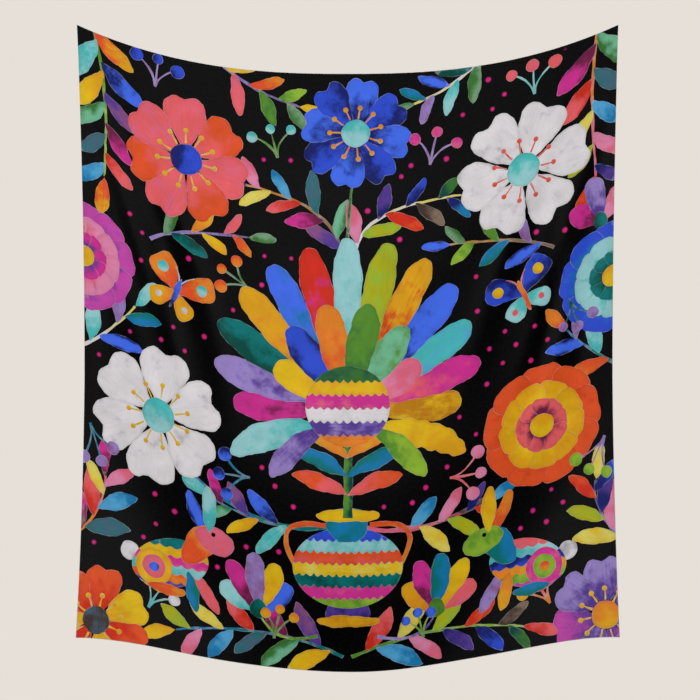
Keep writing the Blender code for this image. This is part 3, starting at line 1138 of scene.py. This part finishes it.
def loose_points(lines, motifs):
    """Points of the sheet that lie on no line: rings inside the outlines, and a staggered grid."""
    rings, number, top = owned([ring_inside(motif.outline) for motif in motifs], motifs)
    row_step = GRID_STEP * math.sqrt(3) / 2
    grid = [
        (-EDGE + (column + 0.25 + 0.5 * (row % 2)) * GRID_STEP, (row + 0.5) * row_step)
        for row in range(int(CUT_LENGTH / row_step))
        for column in range(int(CUT_WIDTH / GRID_STEP))
    ]
    loose = np.vstack((rings[top == number], grid))
    tree = tree_of(lines)
    away = np.array([tree.find((*point, 0.0))[2] for point in loose])
    return loose[(away > CLEAR_OF_LINES) & (from_edges(loose) > HEM_DEPTH)]


def print_mesh(motifs):
    """The flat sheet as triangles that keep to the motifs' outlines, and the motif of each."""
    lines, edges = kept_lines(motifs)
    points = np.vstack((lines, loose_points(lines, motifs)))
    made = delaunay_2d_cdt([Vector(point) for point in points.tolist()], edges, [], 0, MERGE_WITHIN)
    # Points in one place are joined, and adding 0.0 makes -0.0 the same as 0.0
    flat = np.round(np.array([tuple(point) for point in made[0]]), JOINED_DIGITS) + 0.0
    flat, joined = np.unique(flat, axis=0, return_inverse=True)
    triangles = joined.ravel()[np.array(made[2])]
    one, two, three = (flat[triangles[:, corner]] for corner in range(3))
    along, aside = two - one, three - one
    turn = along[:, 0] * aside[:, 1] - along[:, 1] * aside[:, 0]
    real = np.abs(turn) > NO_AREA
    triangles, turn = triangles[real], turn[real]
    triangles[turn > 0] = triangles[turn > 0][:, ::-1]
    return flat, triangles, topmost(flat[triangles].mean(axis=1), motifs)


def beside_line(points, line):
    """How far along a line each point's nearest place is, and how far the point is to its right."""
    step = np.diff(line, axis=0)
    length = np.maximum(np.linalg.norm(step, axis=1), 1e-9)
    run = np.concatenate(([0.0], np.cumsum(length)))
    offset = points[:, None, :] - line[:-1]
    share = np.clip(np.sum(offset * step, axis=2) / length**2, 0.0, 1.0)
    gap = np.linalg.norm(offset - share[:, :, None] * step, axis=2)
    nearest = gap.argmin(axis=1)
    rows = np.arange(len(points))
    side = step[nearest, 0] * offset[rows, nearest, 1] - step[nearest, 1] * offset[rows, nearest, 0]
    along = run[nearest] + share[rows, nearest] * length[nearest]
    return along, gap[rows, nearest] * np.where(side >= 0, 1.0, -1.0), along / run[-1]


def hex_colour(text):
    """The linear colour of an sRGB hex code."""
    channels = [int(text[place : place + 2], 16) / 255 for place in (1, 3, 5)]
    linear = [
        value / 12.92 if value <= 0.04045 else ((value + 0.055) / 1.055) ** 2.4
        for value in channels
    ]
    return (*linear, 1.0)


def paint(flat, triangles, owner, motifs):
    """What the print's shader reads: each triangle's two inks, and at its corners the stroke (how
    far along and across the motif, and its seed) and the wash (the second ink's share, and how far
    the outline is)."""
    inks = np.tile(hex_colour(INKS["black"]), (len(triangles), 1))
    seconds = inks.copy()
    corners = flat[triangles]
    stroke = np.dstack((corners, np.zeros(corners.shape[:2])))
    wash = np.zeros_like(stroke)
    wash[:, :, 1] = FAR_FROM_OUTLINE
    for index in np.unique(owner[owner != GROUND]):
        motif = motifs[index]
        mine = np.flatnonzero(owner == index)
        points = flat[triangles[mine]].reshape(-1, 2)
        inks[mine] = hex_colour(INKS[motif.wash.ink])
        seconds[mine] = hex_colour(INKS[motif.wash.second])
        along, across, share = beside_line(points, motif.spine)
        widest = np.abs(beside_line(motif.outline, motif.spine)[1]).max()
        closed = np.vstack((motif.outline, motif.outline[:1]))
        depth = np.minimum(np.abs(beside_line(points, closed)[1]), FAR_FROM_OUTLINE)
        lean = WASHES[motif.wash.way](share, np.clip(across / widest, -1, 1))
        seed = np.full(len(points), index * SEED_STEP)
        stroke[mine] = np.column_stack((along, across, seed)).reshape(-1, 3, 3)
        wash[mine] = np.column_stack((lean, depth, np.zeros_like(lean))).reshape(-1, 3, 3)
    return inks, seconds, stroke, wash


def border_order(flat):
    """The points on the cloth's edges, clockwise from its top left corner."""
    close = 1e-5
    x, y = flat[:, 0], flat[:, 1]
    place = np.full(len(flat), -1.0)
    place[x < -EDGE + close] = (2 * CUT_WIDTH + 2 * CUT_LENGTH - y)[x < -EDGE + close]
    place[y > CUT_LENGTH - close] = (CUT_WIDTH + CUT_LENGTH + EDGE - x)[y > CUT_LENGTH - close]
    place[x > EDGE - close] = (CUT_WIDTH + y)[x > EDGE - close]
    place[y < close] = (x + EDGE)[y < close]
    order = np.argsort(place, kind="stable")
    return order[place[order] > -0.5]


def give(tree, node, inputs):
    """Gives a node its inputs, by name or else in the order of those in use. Each is a value,
    another node's output, or a node, whose first output in use it takes."""
    in_use = [socket for socket in node.inputs if socket.enabled]
    for key, value in inputs.items() if isinstance(inputs, dict) else enumerate(inputs):
        socket = node.inputs[key] if isinstance(key, str) else in_use[key]
        if isinstance(value, bpy.types.Node):
            value = next(output for output in value.outputs if output.enabled)
        if isinstance(value, bpy.types.NodeSocket):
            tree.links.new(value, socket)
        else:
            socket.default_value = value


def add_node(tree, kind, inputs=(), **settings):
    """Adds a node with its settings and its inputs."""
    made = tree.nodes.new(kind)
    for name, value in settings.items():
        setattr(made, name, value)
    give(tree, made, inputs)
    return made


def new_material(name):
    """A material with its shader, and the tree that both are in."""
    material = bpy.data.materials.new(name)
    material.use_nodes = True
    return material, material.node_tree, material.node_tree.nodes["Principled BSDF"]


# The nodes that the materials use again and again
ATTRIBUTE = "ShaderNodeAttribute"
UV_MAP = "ShaderNodeUVMap"
PLACE = "ShaderNodeTexCoord"
NOISE = "ShaderNodeTexNoise"
MATH = "ShaderNodeMath"
VECTOR_MATH = "ShaderNodeVectorMath"
RANGE = "ShaderNodeMapRange"
MIX = "ShaderNodeMix"
SMOOTH = {"interpolation_type": "SMOOTHSTEP"}
COLOURS = {"data_type": "RGBA"}
MULTIPLIED = {"data_type": "RGBA", "blend_type": "MULTIPLY"}

# The print's pattern, in metres on the cloth
CLOUD = 0.034
WIDE_CLOUD = CLOUD / 0.6
STREAK = 0.0045
GRAIN = 0.0016
RIM = 0.0023
RIM_PATCH = 0.022
POOL = 0.0075
SOFT_EDGE = 0.0058
MOTTLE = 0.009
WEAVE = 0.0013
WEAVE_BUMP = 0.00002
BACK_BLOTCH = 0.05
FOLD_PATCH = 0.012
THREAD_FLECK = 0.0012

# How strong the print's inks, pools and mottle are. The wave node draws about 3.14 bands a metre
# for each 1 of its scale.
INK_STRENGTH = 0.78
POOL_DEPTH = -0.08
MOTTLE_GAIN = 4.0
BANDS_A_METRE = 3.14


def painted_colour(tree, ground_ink):
    """The print's colour: two inks washed into each other, with clouds, brush streaks, grain, a
    pool of darker ink near each outline and a thin pale rim along it. A touch fades at its edge,
    and the black ground is faintly mottled."""
    add = partial(add_node, tree)

    def swung(value, patterns):
        """A value that patterns swing up and down, each by its gain."""
        for pattern, gain in patterns:
            swing = add(MATH, (pattern, 0.5), operation="SUBTRACT")
            value = add(MATH, (swing, gain, value), operation="MULTIPLY_ADD")
        return value

    ink = add(ATTRIBUTE, attribute_name="ink")
    second = add(ATTRIBUTE, attribute_name="second_ink")
    stroke = add(ATTRIBUTE, attribute_name="stroke").outputs["Vector"]
    wash = add(ATTRIBUTE, attribute_name="wash").outputs["Vector"]
    lean, depth, _ = add("ShaderNodeSeparateXYZ", (wash,)).outputs
    flat = add(UV_MAP, uv_map="flat")

    cloud = add(NOISE, (stroke, 1 / CLOUD, 3.0, 0.55))
    elsewhere = add(VECTOR_MATH, (stroke, (3.1, 1.7, 0.0)), operation="ADD")
    wide_cloud = add(NOISE, (elsewhere, 1 / WIDE_CLOUD))
    drawn_out = add(VECTOR_MATH, (stroke, (0.12, 1.0, 1.0)), operation="MULTIPLY")
    streak = add(NOISE, (drawn_out, 1 / STREAK))
    grain = add(NOISE, (flat, 1 / GRAIN, 2.0, 0.7))

    share = swung(lean, ((cloud, 1.5), (streak, 0.35)))
    colour = add(MIX, (add(RANGE, (share, 0.22, 0.86), **SMOOTH), ink, second), **COLOURS)
    strength = swung(INK_STRENGTH, ((wide_cloud, 0.30), (streak, 0.16), (grain, 0.10)))
    pooled = add(RANGE, (depth, RIM, POOL, 1.0, 0.0), **SMOOTH)
    strength = add(MATH, (pooled, POOL_DEPTH, strength), operation="MULTIPLY_ADD")
    colour = add(MIX, (1.0, colour, strength), **MULTIPLIED)

    near = add(RANGE, (depth, RIM * 0.3, RIM, 1.0, 0.0), **SMOOTH)
    patches = add(RANGE, (add(NOISE, (flat, 1 / RIM_PATCH, 1.0)), 0.38, 0.62, 0.05, 0.80), **SMOOTH)
    rim = add(MATH, (near, patches), operation="MULTIPLY")
    pale = add(MIX, (0.30, colour, hex_colour("#C8C2BE")), **COLOURS)
    colour = add(MIX, (rim, colour, pale), **COLOURS)

    thin_black = [MOTTLE_GAIN * value for value in ground_ink]
    mottle = add(RANGE, (add(NOISE, (flat, 1 / MOTTLE, 3.0)), 0.35, 0.70), **SMOOTH)
    black = add(MIX, (mottle, (*ground_ink, 1.0), (*thin_black, 1.0)), **COLOURS)
    touched = add(MIX, (add(RANGE, (depth, 0.0, SOFT_EDGE), **SMOOTH), black, ink), **COLOURS)
    is_touch = add(MATH, (lean, TOUCH / 2), operation="LESS_THAN")
    colour = add(MIX, (is_touch, colour, touched), **COLOURS)
    inked = add(VECTOR_MATH, (ink,), operation="LENGTH")
    is_ground = add(MATH, (inked, 0.02), operation="LESS_THAN")
    return add(MIX, (is_ground, colour, black), **COLOURS)


def weave_finish(tree, shader, sizes):
    """The weave's bump and the cloth's gloss. The weave is drawn coarser than the real 0.3 mm, which
    is too fine to show."""
    add = partial(add_node, tree)
    flat = add(UV_MAP, uv_map="flat")
    weave = {"Vector": flat, "Scale": 1 / (WEAVE * BANDS_A_METRE), "Distortion": 0.6, "Detail": 1.0}
    waves = [add("ShaderNodeTexWave", weave, bands_direction=way).outputs["Fac"] for way in ("X", "Y")]
    height = add(MATH, waves, operation="ADD")
    bump = add("ShaderNodeBump", {"Height": height, "Distance": WEAVE_BUMP, "Strength": 0.6})
    give(tree, shader, {"Normal": bump, "Roughness": sizes.roughness, "Specular IOR Level": sizes.gloss})


def printed_material(sizes):
    """Light polyester with a dye-sublimation print: matt, with a faint weave and a soft gloss that
    shows the folds in the black."""
    material, tree, shader = new_material("printed polyester, face")
    give(tree, shader, {"Base Color": painted_colour(tree, sizes.ground_ink)})
    weave_finish(tree, shader, sizes)
    return material


def back_material(sizes):
    """The back of the same cloth: bare white polyester, with the print showing through faintly."""
    material, tree, shader = new_material("printed polyester, back")
    printed = painted_colour(tree, sizes.ground_ink)
    blotches = add_node(tree, NOISE, (add_node(tree, UV_MAP, uv_map="flat"), 1 / BACK_BLOTCH, 3.0))
    through = add_node(tree, RANGE, (blotches, 0.3, 0.7, 0.17, 0.25), **SMOOTH)
    colour = add_node(tree, MIX, (through, hex_colour("#E9E7E4"), printed), **COLOURS)
    give(tree, shader, {"Base Color": colour})
    weave_finish(tree, shader, sizes)
    return material


def edge_material(sizes):
    """The turned edge of the cloth, where the white yarn shows at the fold."""
    material, tree, shader = new_material("printed polyester, folded edge")
    spot = add_node(tree, PLACE).outputs["Object"]
    patches = add_node(tree, NOISE, (spot, 1 / FOLD_PATCH))
    white = add_node(tree, RANGE, (patches, 0.35, 0.65, 0.75, 1.0), **SMOOTH)
    black = (*sizes.ground_ink, 1.0)
    colour = add_node(tree, MIX, (white, black, hex_colour("#F4F2EE")), **COLOURS)
    give(
        tree, shader, {"Base Color": colour, "Roughness": sizes.roughness, "Specular IOR Level": sizes.gloss}
    )
    return material


def thread_material(sizes):
    """The hem's clear nylon thread: fine and soft, it takes on the colour that is under it."""
    material, tree, shader = new_material("clear nylon thread")
    under = add_node(tree, ATTRIBUTE, attribute_name="ink")
    flecks = add_node(tree, NOISE, (add_node(tree, PLACE).outputs["Object"], 1 / THREAD_FLECK))
    fleck = add_node(tree, RANGE, (flecks, 0.3, 0.7, 0.85, 1.15), **SMOOTH)
    tinted = add_node(tree, MIX, (1.0, under, (*sizes.thread_tint, 1.0)), **MULTIPLIED)
    colour = add_node(tree, MIX, (1.0, tinted, fleck), **MULTIPLIED)
    give(tree, shader, {"Base Color": colour, "Roughness": 0.45, "Specular IOR Level": 0.08})
    return material


# The cloth's materials, in order
FACE, BACK, FOLDED_EDGE = 0, 1, 2


def sheet_places(flat, order, sizes):
    """Where the points of the face, of the back and of the folded edge between them are."""
    thickness = np.where(from_edges(flat) < HEM_DEPTH - HEM_SLACK, sizes.hem_thickness, sizes.sheet_thickness)
    face = hung(flat)
    back = face - facing(flat) * thickness[:, None]
    centre = np.array((0.0, CUT_LENGTH / 2))
    outward = face[order] - hung(flat[order] + (centre - flat[order]) * 0.002)
    outward /= np.linalg.norm(outward, axis=1, keepdims=True)
    return np.vstack((face, back, (face[order] + back[order]) / 2 + outward * HEM_ROUND))


def make_cloth(sizes):
    """The printed sheet: its face, its back and the folded edge between them, as one closed mesh."""
    motifs = cut_motifs(lay_out())
    flat, triangles, owner = print_mesh(motifs)
    inks, seconds, stroke, wash = paint(flat, triangles, owner, motifs)
    order = border_order(flat)
    count = len(flat)
    following = np.roll(order, -1)
    here = 2 * count + np.arange(len(order))
    there = np.roll(here, -1)
    to_middle = np.column_stack((order, following, there, here))
    to_back = np.column_stack((here, there, count + following, count + order))
    parts = (triangles, triangles[:, ::-1] + count, to_middle, to_back)
    faces = [face for part in parts for face in part.tolist()]
    mesh = bpy.data.meshes.new("printed_cloth")
    mesh.from_pydata(sheet_places(flat, order, sizes).tolist(), [], faces)

    rim = 2 * len(order)
    surface = [FACE] * len(triangles) + [BACK] * len(triangles) + [FOLDED_EDGE] * rim
    mesh.polygons.foreach_set("material_index", surface)
    for material in (printed_material(sizes), back_material(sizes), edge_material(sizes)):
        mesh.materials.append(material)
    rim_colour = np.tile(hex_colour(INKS["black"]), (rim, 1))
    for name, colours in (("ink", inks), ("second_ink", seconds)):
        layer = mesh.attributes.new(name, "FLOAT_COLOR", "FACE")
        layer.data.foreach_set("color", np.vstack((colours, colours, rim_colour)).ravel())
    rim_corners = np.zeros((4 * rim, 3))
    for name, values in (("stroke", stroke), ("wash", wash)):
        layer = mesh.attributes.new(name, "FLOAT_VECTOR", "CORNER")
        both = np.vstack((values.reshape(-1, 3), values[:, ::-1].reshape(-1, 3), rim_corners))
        layer.data.foreach_set("vector", both.ravel())
    corner = np.empty(len(mesh.loops), dtype=np.int32)
    mesh.loops.foreach_get("vertex_index", corner)
    on_flat = np.vstack((flat, flat, flat[order]))[corner]
    layer = mesh.uv_layers.new(name="flat")
    layer.data.foreach_set("uv", (on_flat * (1.0, -1.0) + (EDGE, CUT_LENGTH)).ravel())
    mesh.shade_smooth()
    mesh.set_sharp_from_angle(angle=math.radians(SHARP_FROM))
    cloth = bpy.data.objects.new("printed_cloth", mesh)
    bpy.context.scene.collection.objects.link(cloth)
    return cloth


# The hem's stitches: how closely their line follows the cloth, how far they stand off its face and
# its back, how far they tilt, in radians, and the thread's facets
STITCH_LINE_STEP = 0.004
ABOVE_FACE = 0.0001
BEHIND_FACE = 0.0016
STITCH_TILT = 0.10
THREAD_SIDES = 6
THREAD_PARTS = 2


def stitch_line():
    """The line that the hem's stitches follow, on the face and on the back, as one edge mesh."""
    flat = rectangle(HEM_LINE, STITCH_LINE_STEP)
    normal = facing(flat)
    face = hung(flat)
    places = np.vstack((face + normal * ABOVE_FACE, face - normal * BEHIND_FACE))
    count = len(flat)
    edges = [(index, (index + 1) % count) for index in range(count)]
    edges += [(start + count, end + count) for start, end in edges]
    mesh = bpy.data.meshes.new("hem_stitches")
    mesh.from_pydata(places.tolist(), edges, [])
    return mesh


def stitch_nodes(material):
    """Geometry Nodes that lay one stitch after another along a line."""
    tree = bpy.data.node_groups.new("stitches along a line", "GeometryNodeTree")
    tree.interface.new_socket("Line", in_out="INPUT", socket_type="NodeSocketGeometry")
    sockets = {}
    for name, kind in (
        ("Pitch", "NodeSocketFloat"),
        ("Stitch Length", "NodeSocketFloat"),
        ("Thread Radius", "NodeSocketFloat"),
        ("Seed", "NodeSocketInt"),
    ):
        sockets[name] = tree.interface.new_socket(name, in_out="INPUT", socket_type=kind).identifier
    tree.interface.new_socket("Stitches", in_out="OUTPUT", socket_type="NodeSocketGeometry")
    add = partial(add_node, tree)
    given = add("NodeGroupInput").outputs
    curve = add("GeometryNodeMeshToCurve", {"Mesh": given["Line"]})
    runs = add("GeometryNodeResampleCurve", {"Curve": curve, "Length": given["Pitch"]}, mode="LENGTH")
    tangent = add("GeometryNodeInputTangent")
    aligned = add("FunctionNodeAlignRotationToVector", {"Vector": tangent}, axis="Z")
    tilts = {"Min": (-STITCH_TILT,) * 3, "Max": (STITCH_TILT,) * 3, "Seed": given["Seed"]}
    tilt = add("FunctionNodeRandomValue", tilts, data_type="FLOAT_VECTOR")
    turns = {"Rotation": aligned, "Rotate By": tilt}
    turned = add("FunctionNodeRotateRotation", turns, rotation_space="LOCAL")
    thread = {"Vertices": THREAD_SIDES, "Side Segments": THREAD_PARTS}
    thread.update({"Radius": given["Thread Radius"], "Depth": given["Stitch Length"]})
    stitch = add("GeometryNodeMeshCylinder", thread)
    placed = add("GeometryNodeInstanceOnPoints", {"Points": runs, "Instance": stitch, "Rotation": turned})
    solid = add("GeometryNodeRealizeInstances", {"Geometry": placed})
    threaded = add("GeometryNodeSetMaterial", {"Geometry": solid, "Material": material})
    add("NodeGroupOutput", {"Stitches": threaded})
    return tree, sockets


def inks_under(mesh, cloth):
    """The ink of the cloth under each face of a mesh, and white on the cloth's back."""
    centres = np.empty(3 * len(cloth.polygons), dtype=np.float32)
    cloth.polygons.foreach_get("center", centres)
    side = np.empty(len(cloth.polygons), dtype=np.int32)
    cloth.polygons.foreach_get("material_index", side)
    inks = np.empty(4 * len(cloth.polygons), dtype=np.float32)
    cloth.attributes["ink"].data.foreach_get("color", inks)
    inks = inks.reshape(-1, 4)
    inks[side == BACK] = hex_colour(INKS["white"])
    tree = tree_of(centres.reshape(-1, 3))
    return inks[[tree.find(face.center)[1] for face in mesh.polygons]]


def make_stitches(sizes, cloth):
    """The hem's stitches, as a plain mesh."""
    material = thread_material(sizes)
    tree, sockets = stitch_nodes(material)
    line = bpy.data.objects.new("hem_line", stitch_line())
    bpy.context.scene.collection.objects.link(line)
    modifier = line.modifiers.new("stitches", "NODES")
    modifier.node_group = tree
    modifier[sockets["Pitch"]] = sizes.stitch_pitch
    modifier[sockets["Stitch Length"]] = sizes.stitch_length
    modifier[sockets["Thread Radius"]] = sizes.thread_radius
    modifier[sockets["Seed"]] = sizes.stitch_seed
    seen = line.evaluated_get(bpy.context.evaluated_depsgraph_get())
    mesh = bpy.data.meshes.new_from_object(seen)
    bpy.data.objects.remove(line, do_unlink=True)
    mesh.name = "hem_stitches"
    mesh.materials.clear()
    mesh.materials.append(material)
    layer = mesh.attributes.new("ink", "FLOAT_COLOR", "FACE")
    layer.data.foreach_set("color", inks_under(mesh, cloth).ravel())
    mesh.shade_smooth()
    stitches = bpy.data.objects.new("hem_stitches", mesh)
    bpy.context.scene.collection.objects.link(stitches)
    return stitches


# Where the photo was taken from. In its pixels: its width, how far apart the cloth's top corners
# are, how far above its middle they are, and how far left of it the cloth's middle is.
PHOTO_WIDTH = 700
CORNERS_APART = 541
CORNERS_ABOVE = 325
CLOTH_LEFT = 2.4
PIXEL = CORNER_SPAN / CORNERS_APART
FRAME_WIDTH = PHOTO_WIDTH * PIXEL
LENS = 80.0
SENSOR = 36.0

# The light. An area light is width by height.
Lamp = namedtuple("Lamp", "name place aim width height power")
LAMPS = (
    Lamp("upper light", (-0.3, -5.0, 1.02), (-0.3, 0.0, 1.02), 3.2, 2.63, 145.6),
    Lamp("lower light", (-0.1, -5.0, -0.94), (-0.1, 0.0, -0.94), 2.00, 0.40, 89.0),
    Lamp("key light", (-2.6, -3.6, 3.4), (0.0, 0.0, -0.6), 1.6, 1.6, 47.4),
    Lamp("back light", (0.6, 2.6, 1.4), (0.0, 0.0, -0.6), 1.8, 1.8, 150.0),
)
BACKDROP = "#E6E0D8"
EVEN_LIGHT = 0.05
FLOOR_DROP = 2.2
FLOOR_RADIUS = 2.6
FLOOR_SIDES = 64
FLOOR_GLOW = 0.45


def add_camera():
    """The camera, straight in front, as in the photo."""
    data = bpy.data.cameras.new("photo camera")
    data.lens = LENS
    data.sensor_width = SENSOR
    camera = bpy.data.objects.new("photo camera", data)
    height = TOP_SAG - CORNERS_ABOVE * PIXEL
    camera.location = (CLOTH_LEFT * PIXEL, -FRAME_WIDTH * LENS / SENSOR, height)
    camera.rotation_euler = (math.pi / 2, 0.0, 0.0)
    bpy.context.scene.collection.objects.link(camera)
    bpy.context.scene.camera = camera


def add_lamps():
    """Soft area lights. None of them shows to the camera."""
    for lamp in LAMPS:
        data = bpy.data.lights.new(lamp.name, "AREA")
        data.shape = "RECTANGLE"
        data.size = lamp.width
        data.size_y = lamp.height
        data.energy = lamp.power
        light = bpy.data.objects.new(lamp.name, data)
        light.location = lamp.place
        aim = Vector(lamp.aim) - Vector(lamp.place)
        light.rotation_euler = aim.to_track_quat("-Z", "Y").to_euler()
        light.visible_camera = False
        bpy.context.scene.collection.objects.link(light)


def add_backdrop():
    """A plain pale backdrop, which the camera sees, and even light from all round."""
    world = bpy.data.worlds.new("pale studio")
    bpy.context.scene.world = world
    world.use_nodes = True
    tree = world.node_tree
    tree.nodes.clear()
    ray = add_node(tree, "ShaderNodeLightPath").outputs["Is Camera Ray"]
    shown = add_node(tree, "ShaderNodeBackground", (hex_colour(BACKDROP), 1.0))
    around = add_node(tree, "ShaderNodeBackground", ((1.0, 0.99, 0.97, 1.0), EVEN_LIGHT))
    mixed = add_node(tree, "ShaderNodeMixShader", (ray, around, shown))
    add_node(tree, "ShaderNodeOutputWorld", {"Surface": mixed})


def add_floor():
    """A pale round floor, below the picture. It glows a little, so that it stays pale where the
    lamps, which face the cloth, hardly reach it. Its light doesn't fall on the cloth."""
    turns = [2 * math.pi * index / FLOOR_SIDES for index in range(FLOOR_SIDES)]
    ring = [(FLOOR_RADIUS * math.cos(turn), FLOOR_RADIUS * math.sin(turn), -FLOOR_DROP) for turn in turns]
    mesh = bpy.data.meshes.new("floor")
    mesh.from_pydata(ring, [], [list(range(FLOOR_SIDES))])
    material, tree, shader = new_material("pale painted floor")
    give(tree, shader, {"Base Color": hex_colour("#D9D3CA"), "Roughness": 0.8})
    give(tree, shader, {"Emission Color": hex_colour(BACKDROP), "Emission Strength": FLOOR_GLOW})
    mesh.materials.append(material)
    floor = bpy.data.objects.new("floor", mesh)
    floor.visible_diffuse = False
    floor.visible_glossy = False
    bpy.context.scene.collection.objects.link(floor)
    return floor


# The ground's linear colour, darker than a hex code can say
GROUND_INK = (0.0004, 0.0004, 0.00045)


class HangingSizes(bpy.types.PropertyGroup):
    """What a user would change."""

    sheet_thickness: FloatProperty(
        name="Sheet thickness", description="Thickness of the single cloth", default=SHEET, unit="LENGTH"
    )
    hem_thickness: FloatProperty(
        name="Hem thickness", description="Thickness of the turned hem", default=HEM, unit="LENGTH"
    )
    ground_ink: FloatVectorProperty(
        name="Ground ink", description="Colour of the print's ground", default=GROUND_INK, subtype="COLOR"
    )
    roughness: FloatProperty(
        name="Roughness", description="Roughness of the cloth", default=0.427, subtype="FACTOR"
    )
    gloss: FloatProperty(
        name="Gloss", description="How much the cloth reflects", default=0.0327, subtype="FACTOR"
    )
    thread_tint: FloatVectorProperty(
        name="Thread tint",
        description="How the clear thread tints what is under it",
        default=(0.7, 0.7, 0.7),
        subtype="COLOR",
    )
    stitch_pitch: FloatProperty(
        name="Stitch pitch", description="From one stitch to the next", default=0.004, unit="LENGTH"
    )
    stitch_length: FloatProperty(
        name="Stitch length", description="Length of a stitch that shows", default=0.0031, unit="LENGTH"
    )
    thread_radius: FloatProperty(
        name="Thread radius", description="Half the thread's thickness", default=0.0002, unit="LENGTH"
    )
    stitch_seed: IntProperty(name="Stitch seed", description="Which way the stitches tilt", default=4)


class HANGING_OT_cloth(bpy.types.Operator):
    """Makes the printed cloth"""

    bl_idname = "hanging.cloth"
    bl_label = "Printed Cloth"

    def execute(self, context):
        cloth = make_cloth(context.scene.hanging)
        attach(cloth, "root")
        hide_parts(CLOTH_NODE)
        return {"FINISHED"}


class HANGING_OT_stitches(bpy.types.Operator):
    """Makes the hem's stitches"""

    bl_idname = "hanging.stitches"
    bl_label = "Hem Stitches"

    def execute(self, context):
        cloth = bpy.data.objects.get("printed_cloth")
        if cloth is None:
            raise RuntimeError("make the printed cloth first")
        stitches = make_stitches(context.scene.hanging, cloth.data)
        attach(stitches, "root")
        return {"FINISHED"}


class HANGING_OT_stage(bpy.types.Operator):
    """Sets up the camera, the lights, the backdrop and the floor"""

    bl_idname = "hanging.stage"
    bl_label = "Stage"

    def execute(self, context):
        add_camera()
        add_lamps()
        add_backdrop()
        add_floor()
        context.scene.view_settings.view_transform = "Standard"
        return {"FINISHED"}


OPERATORS = (HANGING_OT_cloth, HANGING_OT_stitches, HANGING_OT_stage)


class HANGING_PT_panel(bpy.types.Panel):
    """Lists the sizes and the steps"""

    bl_label = "Cloth Wall Hanging"
    bl_space_type = "VIEW_3D"
    bl_region_type = "UI"
    bl_category = "Hanging"

    def draw(self, context):
        sizes = context.scene.hanging
        for name in HangingSizes.__annotations__:
            self.layout.prop(sizes, name)
        for operator in OPERATORS:
            self.layout.operator(operator.bl_idname)


CLASSES = (HangingSizes, *OPERATORS, HANGING_PT_panel)


def register():
    for item in CLASSES:
        bpy.utils.register_class(item)
    bpy.types.Scene.hanging = PointerProperty(type=HangingSizes)


def unregister():
    del bpy.types.Scene.hanging
    for item in reversed(CLASSES):
        bpy.utils.unregister_class(item)


def main():
    register()
    bpy.ops.hanging.cloth()
    bpy.ops.hanging.stitches()
    bpy.ops.hanging.stage()


if __name__ == "__main__":
    main()
